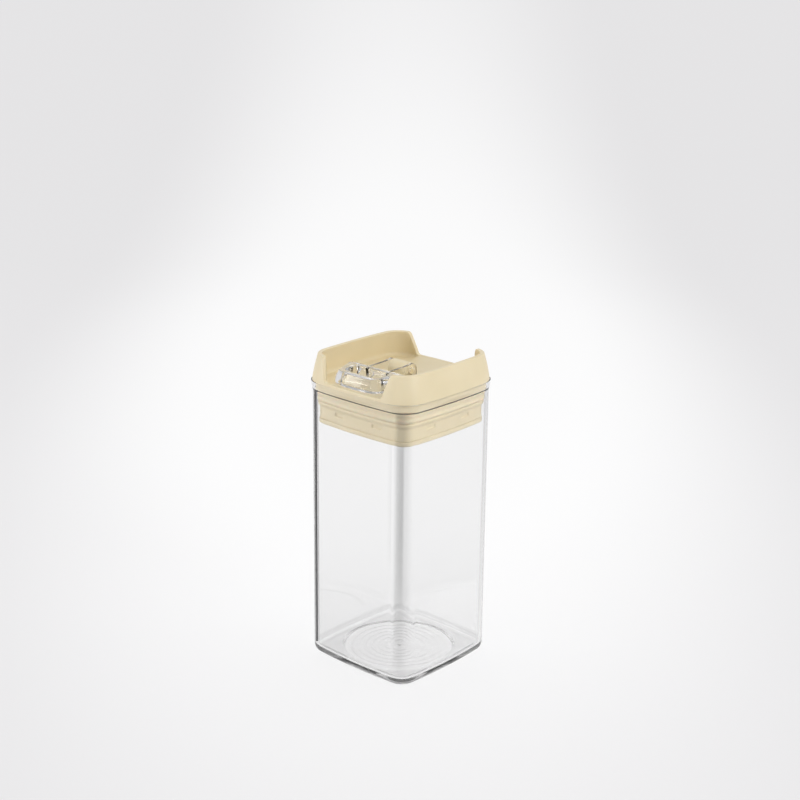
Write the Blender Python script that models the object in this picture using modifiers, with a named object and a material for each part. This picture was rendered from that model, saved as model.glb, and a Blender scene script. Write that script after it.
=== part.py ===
"""Clear storage canister with a press-in lid that a flip lever seals.

The origin is at the middle of the underside, +Z is up and -Y is the side where the lever's
grip shows in the lid's front notch. All sizes are in metres. The lever is modelled down,
which is the sealed position.
"""

import math

import bmesh
import bpy
from mathutils import Matrix, Vector

# Canister: outer half width at the middle of a side, and the levels of its features.
BODY_HALF = 0.0450
BODY_FLAT = 0.0320
BODY_BOW = 0.0014
WALL = 0.0030
FLOOR = 0.0040
BASE_FILLET = 0.0051
INNER_FILLET = 0.0040
FLARE_LOW = 0.1830
LEDGE = 0.1850
RIM = 0.1905
COLLAR_HALF = 0.0464
COLLAR_FLAT = 0.0300
COLLAR_BOW = 0.0009
COLLAR_WALL = 0.0023
PUNT_RADIUS = 0.0360
PUNT_DEPTH = 0.0008
GATE_RADIUS = 0.0016

# Lid cover.
HEIGHT = 0.2080
COVER_TOP_HALF = 0.0425
COVER_WALL = 0.0030
TRAY_FLOOR = 0.1900
TRAY_UNDERSIDE = 0.1876
FLANGE_HALF = 0.0436
POCKET_HALF = 0.0380
SILL = 0.1922
NOTCH_LOW_HALF = 0.0250
NOTCH_TOP_HALF = 0.0280
NOTCH_LOW_RADIUS = 0.0025
NOTCH_TOP_RADIUS = 0.0030
RAMP_START = 0.0280
RAMP_END = 0.0434
SLEEVE_RADIUS = 0.0086
SLEEVE_LOW = 0.1822

# Lever, hub and axle: the pivot's height is that of the sealed position.
PIVOT = 0.1973
LIFT = 0.0025
AXLE_RADIUS = 0.0020
AXLE_BORE = 0.0023
HUB_HALF = 0.0070
HUB_RADIUS = 0.0053
HUB_LOW = 0.1930
LUG_NEAR = 0.0074
LUG_FAR = 0.0099
LUG_TOP_RADIUS = 0.0053
CAM_SEALED = 0.0068
PADDLE_LOW = 0.1932
PADDLE_TOP = 0.2020
PADDLE_FRONT = -0.0462
PADDLE_BACK = -0.0190
PADDLE_HALF = 0.0254
PADDLE_EDGE = 0.0015
PADDLE_BOW_RADIUS = 0.0600
PADDLE_LEAN = 13.5
PADDLE_CORNER = 0.0070
PADDLE_BACK_CORNER = 0.0040
HOLE_HALF = 0.0140
HOLE_FRONT = -0.0385
HOLE_BACK = -0.0255
HOLE_CORNER = 0.0035
ARM_LOW_Y = -0.0075
ARM_FOOT_Y = -0.0035
ARM_DROP = 0.0004

# Plunger: the stem, the frame that squeezes the gasket, and the cap that closes it below.
STEM_RADIUS = 0.0045
STEM_BORE = 0.0048
STEM_FLANGE = 0.0080
STEM_FLANGE_THICK = 0.0015
SPIGOT_RADIUS = 0.0042
SCREW_HOLE = 0.0020
SCREW_HOLE_TOP = 0.1850
SCREW_RADIUS = 0.0017
SCREW_TOP = 0.1840
SCREW_HEAD = 0.0035
SCREW_HEAD_THICK = 0.0020
SCREW_HEAD_EDGE = 0.0008
WASHER_HOLE = 0.0022
WASHER_THICK = 0.0012
WEB_LOW = 0.1742
WEB_TOP = 0.1766
FRAME_HALF = 0.0392
FRAME_LOW = 0.1653
SHOULDER_HALF = 0.0406
GUIDE_HALF = 0.0373
SKIN = 0.0020
PLUG_LOW = 0.1620
LIP_HALF = 0.0396
LIP_TOP = 0.1650
CAP_WALL_HALF = 0.0369
WINDOW_X = 0.0160
WINDOW_HALF = 0.0040
WINDOW_LOW = 0.1698
WINDOW_TOP = 0.1724

# Gasket, seal and spring.
GASKET_HALF = 0.0417
GASKET_INNER = 0.0377
GASKET_LOW = 0.1770
GASKET_TOP = 0.1850
SEAL_RADIUS = 0.0057
SEAL_WIRE = 0.0009
SEAL_LEVEL = 0.1838
SPRING_RADIUS = 0.0106
SPRING_WIRE = 0.0006
SPRING_LOW = 0.1775
SPRING_TOP = 0.1867
SPRING_TURNS = 3.5

GAP = 0.0003
SIDE_STEPS = 6
CORNER_STEPS = 8
ROUND_STEPS = 32


def clear_scene():
    """Remove every object of the open scene."""
    for obj in list(bpy.data.objects):
        bpy.data.objects.remove(obj, do_unlink=True)


def new_collection(name):
    """Add an empty collection to the scene."""
    made = bpy.data.collections.new(name)
    bpy.context.scene.collection.children.link(made)
    return made


def plastic(name, colour, roughness, transmission=0.0, metallic=0.0):
    """A Principled material from a linear colour, its roughness and how clear it is."""
    made = bpy.data.materials.new(name)
    made.use_nodes = True
    shader = made.node_tree.nodes["Principled BSDF"]
    shader.inputs["Base Color"].default_value = (*colour, 1.0)
    shader.inputs["Roughness"].default_value = roughness
    shader.inputs["Metallic"].default_value = metallic
    shader.inputs["Transmission Weight"].default_value = transmission
    return made


clear_scene()
PARTS = new_collection("lever_canister")
TOOLS = new_collection("cutters")
CLEAR = plastic("clear_acrylic", (0.95, 0.96, 0.96), 0.03, transmission=1.0)
CREAM = plastic("cream_plastic", (0.72, 0.62, 0.45), 0.35)
SILICONE = plastic("cream_silicone", (0.74, 0.65, 0.49), 0.55)
STEEL = plastic("steel", (0.60, 0.60, 0.61), 0.25, metallic=1.0)


def add_mesh(name, bm, material=None):
    """Make an object of a bmesh: a part where it has a material, otherwise a hidden tool."""
    bmesh.ops.recalc_face_normals(bm, faces=bm.faces)
    mesh = bpy.data.meshes.new(name)
    bm.to_mesh(mesh)
    bm.free()
    obj = bpy.data.objects.new(name, mesh)
    if material:
        mesh.materials.append(material)
        PARTS.objects.link(obj)
    else:
        obj.hide_render = True
        obj.display_type = "WIRE"
        TOOLS.objects.link(obj)
    return obj


def shade(obj, angle=30):
    """Shade smooth, with edges sharper than the angle in degrees kept crisp."""
    obj.data.shade_smooth()
    obj.data.set_sharp_from_angle(angle=math.radians(angle))


def boolean(obj, tool, operation="DIFFERENCE"):
    """Cut the tool from the object, or join it on."""
    modifier = obj.modifiers.new(tool.name, "BOOLEAN")
    modifier.operation = operation
    modifier.solver = "EXACT"
    modifier.object = tool


def arc(centre, radius, start, end, steps):
    """Points on a circle in a plane, from one angle in degrees to another."""
    turn = math.radians(end - start) / steps
    angles = [math.radians(start) + turn * k for k in range(steps + 1)]
    return [(centre[0] + radius * math.cos(a), centre[1] + radius * math.sin(a)) for a in angles]


def bowed_square(half, flat, bow, level):
    """A ring at one level: a square whose sides bow outwards and whose corners are round.

    half is the half width at the middle of a side, flat the half length of the bowed side
    and bow how far its ends fall back. The corner's arc meets both sides without a kink.
    """
    side_radius = (flat * flat + bow * bow) / (2 * bow)
    tilt = math.asin(flat / side_radius)
    radius = (half - bow - flat) / (math.cos(tilt) - math.sin(tilt))
    middle = half - bow - radius * math.cos(tilt)
    degrees = math.degrees(tilt)
    side = arc((half - side_radius, 0), side_radius, -degrees, degrees, SIDE_STEPS)
    corner = arc((middle, middle), radius, degrees, 90 - degrees, CORNER_STEPS)
    quarter = side + corner[1:-1]
    turns = [Matrix.Rotation(math.radians(90 * k), 3, "Z") for k in range(4)]
    return [turn @ Vector((x, y, level)) for turn in turns for x, y in quarter]


def body_ring(half, level):
    """A ring that keeps the canister wall's bow and corner centres."""
    return bowed_square(half, BODY_FLAT, BODY_BOW, level)


def loft(name, rings, material=None, closed=False):
    """Skin a chain of rings. The ends are capped, or joined to each other where it closes."""
    bm = bmesh.new()
    loops = [[bm.verts.new(point) for point in ring] for ring in rings]
    following = loops[1:] + loops[:1] if closed else loops[1:]
    for near, far in zip(loops, following):
        for k, vert in enumerate(near):
            bm.faces.new((near[k - 1], vert, far[k], far[k - 1]))
    if not closed:
        bm.faces.new(loops[0])
        bm.faces.new(loops[-1])
    return add_mesh(name, bm, material)


def prism(name, outline, axis, low, high, material=None):
    """Extrude an outline along an axis. The outline is in the other two axes, in order."""
    places = {"X": lambda a, b: (low, a, b), "Y": lambda a, b: (a, low, b), "Z": lambda a, b: (a, b, low)}
    along = {"X": (1, 0, 0), "Y": (0, 1, 0), "Z": (0, 0, 1)}
    bm = bmesh.new()
    face = bm.faces.new([bm.verts.new(places[axis](a, b)) for a, b in outline])
    raised = bmesh.ops.extrude_face_region(bm, geom=[face])["geom"]
    moved = [item for item in raised if isinstance(item, bmesh.types.BMVert)]
    bmesh.ops.translate(bm, verts=moved, vec=Vector(along[axis]) * (high - low))
    return add_mesh(name, bm, material)


def cylinder(name, radius, low, high, axis="Z", centre=(0, 0, 0), material=None, steps=ROUND_STEPS):
    """A cylinder along an axis, from low to high on it."""
    turn = {"X": Matrix.Rotation(math.radians(90), 4, "Y"), "Z": Matrix.Identity(4)}[axis]
    middle = (low + high) / 2
    along = {"X": Vector((middle, 0, 0)), "Z": Vector((0, 0, middle))}[axis]
    bm = bmesh.new()
    bmesh.ops.create_cone(
        bm,
        cap_ends=True,
        segments=steps,
        radius1=radius,
        radius2=radius,
        depth=high - low,
        matrix=Matrix.Translation(Vector(centre) + along) @ turn,
    )
    return add_mesh(name, bm, material)


def box(name, low, high, material=None):
    """A box from its lowest to its highest corner."""
    low, high = Vector(low), Vector(high)
    bm = bmesh.new()
    size = Matrix.Diagonal((high - low).to_4d())
    bmesh.ops.create_cube(bm, size=1.0, matrix=Matrix.Translation((low + high) / 2) @ size)
    return add_mesh(name, bm, material)


def turned(name, profile, material=None, steps=ROUND_STEPS, closed=False):
    """Turn a profile of (radius, level) points about Z. It runs down its outer side."""
    mesh = bpy.data.meshes.new(name)
    points = [(radius, 0, level) for radius, level in profile]
    edges = [(k, k + 1) for k in range(len(points) - 1)]
    if closed:
        edges.append((len(points) - 1, 0))
    mesh.from_pydata(points, edges, [])
    obj = bpy.data.objects.new(name, mesh)
    screw = obj.modifiers.new("turn", "SCREW")
    screw.axis = "Z"
    screw.steps = steps
    screw.render_steps = steps
    screw.use_merge_vertices = True
    screw.merge_threshold = 1e-6
    if material:
        mesh.materials.append(material)
        PARTS.objects.link(obj)
    else:
        obj.hide_render = True
        obj.display_type = "WIRE"
        TOOLS.objects.link(obj)
    return obj


def fillet(half, level, radius, start, end, steps=4):
    """Rings round a fillet whose centre is at half and level, between two angles in degrees."""
    return [body_ring(a, z) for a, z in arc((half, level), radius, start, end, steps)]


def make_canister():
    """The clear canister: thick base, bowed walls, and a flared collar with a ledge inside."""
    outer_base = fillet(BODY_HALF - BASE_FILLET, BASE_FILLET, BASE_FILLET, -90, 0)
    flare_top = LEDGE + 0.0010
    collar_inner = COLLAR_HALF - COLLAR_WALL
    inner_half = BODY_HALF - WALL
    rings = outer_base + [
        body_ring(BODY_HALF, FLARE_LOW),
        bowed_square(BODY_HALF + 0.0004, BODY_FLAT - 0.0005, 0.0012, LEDGE - 0.0006),
        bowed_square(COLLAR_HALF - 0.0003, COLLAR_FLAT, COLLAR_BOW, flare_top),
        bowed_square(COLLAR_HALF, COLLAR_FLAT, COLLAR_BOW, RIM - 0.0005),
        bowed_square(COLLAR_HALF - 0.0005, COLLAR_FLAT, COLLAR_BOW, RIM),
        bowed_square(collar_inner + 0.0004, COLLAR_FLAT, COLLAR_BOW, RIM),
        bowed_square(collar_inner, COLLAR_FLAT, COLLAR_BOW, RIM - 0.0004),
        bowed_square(collar_inner - 0.0001, COLLAR_FLAT, COLLAR_BOW, LEDGE),
        body_ring(inner_half + 0.0005, LEDGE),
        body_ring(inner_half, LEDGE - 0.0005),
    ]
    rings += fillet(inner_half - INNER_FILLET, FLOOR + INNER_FILLET, INNER_FILLET, 0, -90)
    canister = loft("canister_body", rings, CLEAR)
    punt = cylinder("punt_cutter", PUNT_RADIUS, -0.001, PUNT_DEPTH, steps=64)
    boolean(canister, punt)
    gate = cylinder("gate_stub", GATE_RADIUS, PUNT_DEPTH / 2, FLOOR / 2, steps=16)
    boolean(canister, gate, "UNION")
    shade(canister)


def notch_outline():
    """The notch as (x, z) points: round low corners, and lips that roll out at the top."""
    lean = math.degrees(math.atan2(NOTCH_TOP_HALF - NOTCH_LOW_HALF, HEIGHT - SILL))
    low = (NOTCH_LOW_HALF - NOTCH_LOW_RADIUS, SILL + NOTCH_LOW_RADIUS)
    top = (NOTCH_TOP_HALF + NOTCH_TOP_RADIUS, HEIGHT - NOTCH_TOP_RADIUS)
    right = arc(low, NOTCH_LOW_RADIUS, -90, -lean, 4)
    right += arc(top, NOTCH_TOP_RADIUS, 180 - lean, 90, 4)
    right.append((NOTCH_TOP_HALF + NOTCH_TOP_RADIUS, HEIGHT + 0.005))
    return right + [(-x, z) for x, z in reversed(right)]


def cover_half(level):
    """The cover's outer half width at a level: it draws in faster towards the top."""
    rise = (level - RIM) / (HEIGHT - RIM)
    return COLLAR_HALF - (COLLAR_HALF - COVER_TOP_HALF) * rise**1.3


def make_cover():
    """The cream cover: a tray with tall side walls, notched front and back."""
    step = RIM + GAP

    def ring(half, level):
        return bowed_square(half, COLLAR_FLAT - 0.0015, COLLAR_BOW, level)

    levels = [step + (HEIGHT - 0.0006 - step) * k / 5 for k in range(6)]
    outer = [ring(cover_half(z), z) for z in levels]
    inner = [ring(cover_half(z) - COVER_WALL, z) for z in reversed(levels[1:])]
    floor_half = cover_half(TRAY_FLOOR + 0.003) - COVER_WALL
    rings = [
        ring(POCKET_HALF, TRAY_UNDERSIDE),
        ring(POCKET_HALF, LEDGE + 0.0004),
        ring(FLANGE_HALF - 0.0004, LEDGE + 0.0004),
        ring(FLANGE_HALF, LEDGE + 0.0008),
        ring(FLANGE_HALF, step),
        *outer,
        ring(COVER_TOP_HALF - 0.0006, HEIGHT),
        ring(COVER_TOP_HALF - COVER_WALL + 0.0006, HEIGHT),
        *inner,
        ring(floor_half - 0.0006, TRAY_FLOOR + 0.0012),
        ring(floor_half - 0.0022, TRAY_FLOOR),
    ]
    cover = loft("lid_cover", rings, CREAM)
    boolean(cover, prism("notch_cutter", notch_outline(), "Y", -0.06, 0.06))
    for name, way in (("front_ramp", -1), ("back_ramp", 1)):
        root = TRAY_FLOOR - 0.0008
        slope = [(RAMP_START, root), (RAMP_START, TRAY_FLOOR), (RAMP_END, SILL), (RAMP_END + 0.001, SILL)]
        slope += [(RAMP_END + 0.001, RIM + 0.0006), (RAMP_END - 0.0015, root)]
        outline = [(way * y, z) for y, z in slope]
        boolean(cover, prism(name, outline, "X", -NOTCH_LOW_HALF, NOTCH_LOW_HALF), "UNION")
    boolean(cover, cylinder("sleeve", SLEEVE_RADIUS, SLEEVE_LOW, TRAY_UNDERSIDE + 0.0008), "UNION")
    boolean(cover, cylinder("sleeve_bore", STEM_BORE, SLEEVE_LOW - 0.001, TRAY_FLOOR + 0.001))
    seal_pocket = SEAL_RADIUS + SEAL_WIRE + GAP
    pocket_top = SEAL_LEVEL + SEAL_WIRE + GAP
    boolean(cover, cylinder("seal_pocket", seal_pocket, SLEEVE_LOW - 0.001, pocket_top))
    shade(cover)


def make_gasket():
    """The gasket: two round lobes that press on the canister wall, with a groove between."""
    lobe = (GASKET_TOP - GASKET_LOW) / 4
    centre = GASKET_HALF - lobe
    outer = arc((centre, GASKET_LOW + lobe), lobe, -90, 75, 5)
    outer += arc((centre, GASKET_TOP - lobe), lobe, -75, 90, 5)
    profile = [(GASKET_INNER, GASKET_LOW), *outer, (GASKET_INNER, GASKET_TOP)]
    rings = [body_ring(half, level) for half, level in profile]
    shade(loft("gasket", rings, SILICONE, closed=True), 50)


def window_boxes(near, far, half, low, top):
    """Corners of eight boxes, two on each side, that reach from near to far outwards."""
    for turn in range(4):
        spin = Matrix.Rotation(math.radians(90 * turn), 3, "Z")
        for x in (-WINDOW_X, WINDOW_X):
            ends = [spin @ Vector((x - half, -far, low)), spin @ Vector((x + half, -near, top))]
            yield [min(a, b) for a, b in zip(*ends)], [max(a, b) for a, b in zip(*ends)]


def make_frame():
    """The frame that squeezes the gasket: skirt with snap windows, web, and gasket guide."""
    rings = [
        body_ring(FRAME_HALF - SKIN, WEB_LOW),
        body_ring(FRAME_HALF - SKIN, FRAME_LOW),
        body_ring(FRAME_HALF, FRAME_LOW),
        body_ring(FRAME_HALF, WEB_LOW - 0.0007),
        body_ring(SHOULDER_HALF, WEB_LOW + 0.0010),
        body_ring(SHOULDER_HALF, GASKET_LOW - GAP),
        body_ring(GUIDE_HALF, GASKET_LOW - GAP),
        body_ring(GUIDE_HALF, LEDGE),
        body_ring(GUIDE_HALF - SKIN, LEDGE),
        body_ring(GUIDE_HALF - SKIN, WEB_TOP),
    ]
    frame = loft("pressure_frame", rings, CREAM)
    boolean(frame, cylinder("web_hole", STEM_RADIUS + 0.0001, WEB_LOW - 0.001, WEB_TOP + 0.001))
    corners = window_boxes(0.035, 0.041, WINDOW_HALF, WINDOW_LOW, WINDOW_TOP)
    for number, (low, high) in enumerate(corners, 1):
        boolean(frame, box(f"window_{number}", low, high))
    shade(frame)


def make_cap():
    """The cap that closes the frame below, with eight hooks that snap into its windows."""
    rings = [
        body_ring(LIP_HALF - 0.0008, PLUG_LOW),
        body_ring(LIP_HALF - 0.0002, PLUG_LOW + 0.0002),
        body_ring(LIP_HALF, PLUG_LOW + 0.0008),
        body_ring(LIP_HALF, LIP_TOP),
        body_ring(CAP_WALL_HALF, LIP_TOP),
        body_ring(CAP_WALL_HALF, WINDOW_TOP + 0.0010),
        body_ring(CAP_WALL_HALF - SKIN, WINDOW_TOP + 0.0010),
        body_ring(CAP_WALL_HALF - SKIN, PLUG_LOW + SKIN),
    ]
    cap = loft("bottom_cap", rings, CREAM)
    corners = window_boxes(0.0356, 0.0380, WINDOW_HALF - 0.0004, WINDOW_LOW + 0.0004, WINDOW_TOP - 0.0004)
    for number, (low, high) in enumerate(corners, 1):
        boolean(cap, box(f"hook_{number}", low, high), "UNION")
    shade(cap)


def make_stem():
    """The pull stem: a round-topped hub that holds the axle, on a round shaft with a flange."""
    flange_low = WEB_TOP + GAP
    flange_top = flange_low + STEM_FLANGE_THICK
    spigot_low = WEB_LOW + GAP / 2
    inside_hub = HUB_LOW + STEM_FLANGE_THICK
    profile = [
        (0.0, inside_hub),
        (STEM_RADIUS, inside_hub),
        (STEM_RADIUS, flange_top),
        (STEM_FLANGE, flange_top),
        (STEM_FLANGE, flange_low),
        (SPIGOT_RADIUS, flange_low),
        (SPIGOT_RADIUS, spigot_low),
        (SCREW_HOLE, spigot_low),
        (SCREW_HOLE, SCREW_HOLE_TOP),
        (0.0, SCREW_HOLE_TOP),
    ]
    stem = turned("pull_stem", profile, CREAM)
    hub = arc((0, PIVOT), HUB_RADIUS, 0, 180, 12) + [(-HUB_RADIUS, HUB_LOW), (HUB_RADIUS, HUB_LOW)]
    boolean(stem, prism("hub", hub, "X", -HUB_HALF, HUB_HALF), "UNION")
    bore = cylinder("hub_bore", AXLE_BORE, -0.02, 0.02, "X", (0, 0, PIVOT), steps=24)
    boolean(stem, bore)
    shade(stem)


def make_fixings():
    """The washer and screw that clamp the frame's web against the stem's flange."""
    top = WEB_LOW - GAP
    low = top - WASHER_THICK
    washer = [(STEM_FLANGE, top), (STEM_FLANGE, low), (WASHER_HOLE, low), (WASHER_HOLE, top)]
    turned("stem_washer", washer, STEEL, closed=True)
    head_top = low - GAP
    head_low = head_top - SCREW_HEAD_THICK
    screw = [
        (0.0, SCREW_TOP),
        (SCREW_RADIUS, SCREW_TOP),
        (SCREW_RADIUS, head_top),
        (SCREW_HEAD, head_top),
        (SCREW_HEAD, head_low + SCREW_HEAD_EDGE),
        (SCREW_HEAD - SCREW_HEAD_EDGE, head_low),
        (0.0, head_low),
    ]
    turned("stem_screw", screw, STEEL, steps=24)


def make_seal_and_spring():
    """The ring that seals the stem in its sleeve, and the spring that pushes the frame down."""
    section = arc((SEAL_RADIUS, SEAL_LEVEL), SEAL_WIRE, 0, -315, 7)
    turned("stem_seal", section, SILICONE, closed=True)
    per_turn = 16
    count = int(SPRING_TURNS * per_turn)
    curve = bpy.data.curves.new("return_spring", "CURVE")
    curve.dimensions = "3D"
    curve.bevel_depth = SPRING_WIRE
    curve.bevel_resolution = 2
    curve.use_fill_caps = True
    line = curve.splines.new("POLY")
    line.points.add(count)
    for k, point in enumerate(line.points):
        angle = math.tau * k / per_turn
        level = SPRING_LOW + (SPRING_TOP - SPRING_LOW) * k / count
        point.co = (SPRING_RADIUS * math.cos(angle), SPRING_RADIUS * math.sin(angle), level, 1)
    curve.materials.append(STEEL)
    PARTS.objects.link(bpy.data.objects.new("return_spring", curve))


def rounded_rectangle(low, high, radius):
    """A rectangle's outline with round corners, between its lowest and its highest corner."""
    (left, front), (right, back) = low, high
    outline = arc((right - radius, back - radius), radius, 0, 90, 4)
    outline += arc((left + radius, back - radius), radius, 90, 180, 4)
    outline += arc((left + radius, front + radius), radius, 180, 270, 4)
    return outline + arc((right - radius, front + radius), radius, 270, 360, 4)


def paddle_outline():
    """Half of the paddle as (x, y) points, from the middle of its front to that of its back."""
    middle = (0, PADDLE_FRONT + PADDLE_BOW_RADIUS)
    front = arc(middle, PADDLE_BOW_RADIUS, -90, -90 + PADDLE_LEAN, 4)
    x, y = front[-1]
    lean = math.radians(PADDLE_LEAN)
    centre = (x - PADDLE_CORNER * math.sin(lean), y + PADDLE_CORNER * math.cos(lean))
    corner = arc(centre, PADDLE_CORNER, -90 + PADDLE_LEAN, -27, 5)
    side_end = (PADDLE_HALF - PADDLE_BACK_CORNER, PADDLE_BACK - PADDLE_BACK_CORNER)
    return front + corner[1:] + arc(side_end, PADDLE_BACK_CORNER, -12, 90, 6)


def lug_outline():
    """A lug and its arm as (y, z) points: a cam whose radius falls by the lift in a quarter turn."""
    steps = 9
    top = []
    cam = []
    for k in range(steps + 1):
        share = k / steps
        angle = math.radians(90 * (1 - share))
        radius = LUG_TOP_RADIUS + (CAM_SEALED - LIFT - LUG_TOP_RADIUS) * share
        top.append((radius * math.cos(angle), PIVOT + radius * math.sin(angle)))
        angle = math.radians(-90 * share)
        radius = CAM_SEALED - LIFT * (1 - share)
        cam.append((radius * math.cos(angle), PIVOT + radius * math.sin(angle)))
    root = PADDLE_BACK - 2 * PADDLE_EDGE
    low = PADDLE_LOW + ARM_DROP
    high = PADDLE_TOP - ARM_DROP
    arm = [(ARM_FOOT_Y, PIVOT - CAM_SEALED), (ARM_LOW_Y, low), (root, low), (root, high)]
    return top + cam[1:] + arm + [(ARM_LOW_Y, high)]


def make_lever():
    """The clear flip lever: a thick round-edged loop with a finger hole, on two cam lugs."""
    half = paddle_outline()
    outline = half + [(-x, y) for x, y in reversed(half)][:-1]
    lever = prism("flip_lever", outline, "Z", PADDLE_LOW, PADDLE_TOP, CLEAR)
    edge = lever.modifiers.new("edge", "BEVEL")
    edge.width = PADDLE_EDGE
    edge.segments = 3
    edge.limit_method = "ANGLE"
    edge.angle_limit = math.radians(70)
    for side, name in ((-1, "left_lug"), (1, "right_lug")):
        near, far = sorted((side * LUG_NEAR, side * LUG_FAR))
        boolean(lever, prism(name, lug_outline(), "X", near, far), "UNION")
    hole = rounded_rectangle((-HOLE_HALF, HOLE_FRONT), (HOLE_HALF, HOLE_BACK), HOLE_CORNER)
    boolean(lever, prism("finger_hole", hole, "Z", PADDLE_LOW - 0.001, PADDLE_TOP + 0.001))
    boolean(lever, cylinder("lug_bore", AXLE_BORE, -0.02, 0.02, "X", (0, 0, PIVOT), steps=24))
    shade(lever)
    reach = LUG_FAR - GAP
    axle = cylinder("lever_axle", AXLE_RADIUS, -reach, reach, "X", (0, 0, PIVOT), CREAM, steps=24)
    shade(axle)
    pivot = bpy.data.objects.new("lever_pivot", None)
    pivot.location = (0, 0, PIVOT)
    PARTS.objects.link(pivot)
    for piece in (lever, axle):
        piece.parent = pivot
        piece.matrix_parent_inverse = Matrix.Translation((0, 0, -PIVOT))


make_canister()
make_cover()
make_gasket()
make_frame()
make_cap()
make_stem()
make_fixings()
make_seal_and_spring()
make_lever()
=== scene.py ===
"""Looks of the lever canister: a clear moulded body, a cream press-in lid and a clear flip lever.

Every visible piece is built here as one closed surface from its own sizes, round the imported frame.
Lengths are in metres, +Z is up and the lid's front notch faces -Y.
"""

import logging
import math
from dataclasses import dataclass
from enum import Enum
from typing import Sequence

import bpy
import numpy as np
from mathutils import Matrix, Vector


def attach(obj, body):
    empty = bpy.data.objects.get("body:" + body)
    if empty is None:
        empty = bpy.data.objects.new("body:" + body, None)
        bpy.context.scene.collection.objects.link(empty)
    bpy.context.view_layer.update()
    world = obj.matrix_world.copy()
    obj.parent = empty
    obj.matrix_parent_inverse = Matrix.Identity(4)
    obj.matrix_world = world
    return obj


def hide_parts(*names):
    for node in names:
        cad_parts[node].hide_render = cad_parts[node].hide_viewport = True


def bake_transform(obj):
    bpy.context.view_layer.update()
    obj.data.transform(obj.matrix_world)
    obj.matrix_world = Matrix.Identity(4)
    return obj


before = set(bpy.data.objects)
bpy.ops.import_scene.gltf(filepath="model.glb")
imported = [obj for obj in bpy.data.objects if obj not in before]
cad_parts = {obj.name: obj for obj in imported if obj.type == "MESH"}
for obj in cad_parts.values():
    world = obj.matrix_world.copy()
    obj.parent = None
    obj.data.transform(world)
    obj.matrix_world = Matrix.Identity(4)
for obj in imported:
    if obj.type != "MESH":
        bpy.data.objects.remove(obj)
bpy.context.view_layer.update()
LOG = logging.getLogger("lever_canister")
MILLIMETRE = 0.001
# Most of a noise texture's values lie between these.
NOISE_LOW, NOISE_HIGH = 0.3, 0.7


class Slot(Enum):
    """The record's material slots."""

    CLEAR = "clear_acrylic"
    CREAM = "cream_plastic"
    SILICONE = "cream_silicone"
    STEEL = "steel"


class Body(Enum):
    """The frame's moving bodies."""

    CANISTER = "canister"
    LID = "lid"
    PLUNGER = "plunger"
    LEVER = "lever"


class Join(Enum):
    """How a tool changes the piece that it meets."""

    ADD = "UNION"
    CUT = "DIFFERENCE"


# ---------------------------------------------------------------------------------- colours


def linear(colour: str) -> tuple[float, float, float, float]:
    """Turn an sRGB hex colour into the linear values that shaders take.

    Args:
        colour: six hex digits after a hash sign.

    Returns:
        Red, green, blue and an alpha of one.
    """
    parts = [int(colour[k : k + 2], 16) / 255 for k in (1, 3, 5)]
    low = [part / 12.92 for part in parts]
    high = [((part + 0.055) / 1.055) ** 2.4 for part in parts]
    chosen = [a if part <= 0.04045 else b for part, a, b in zip(parts, low, high)]
    return (*chosen, 1.0)


# --------------------------------------------------------------------------------- materials


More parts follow.
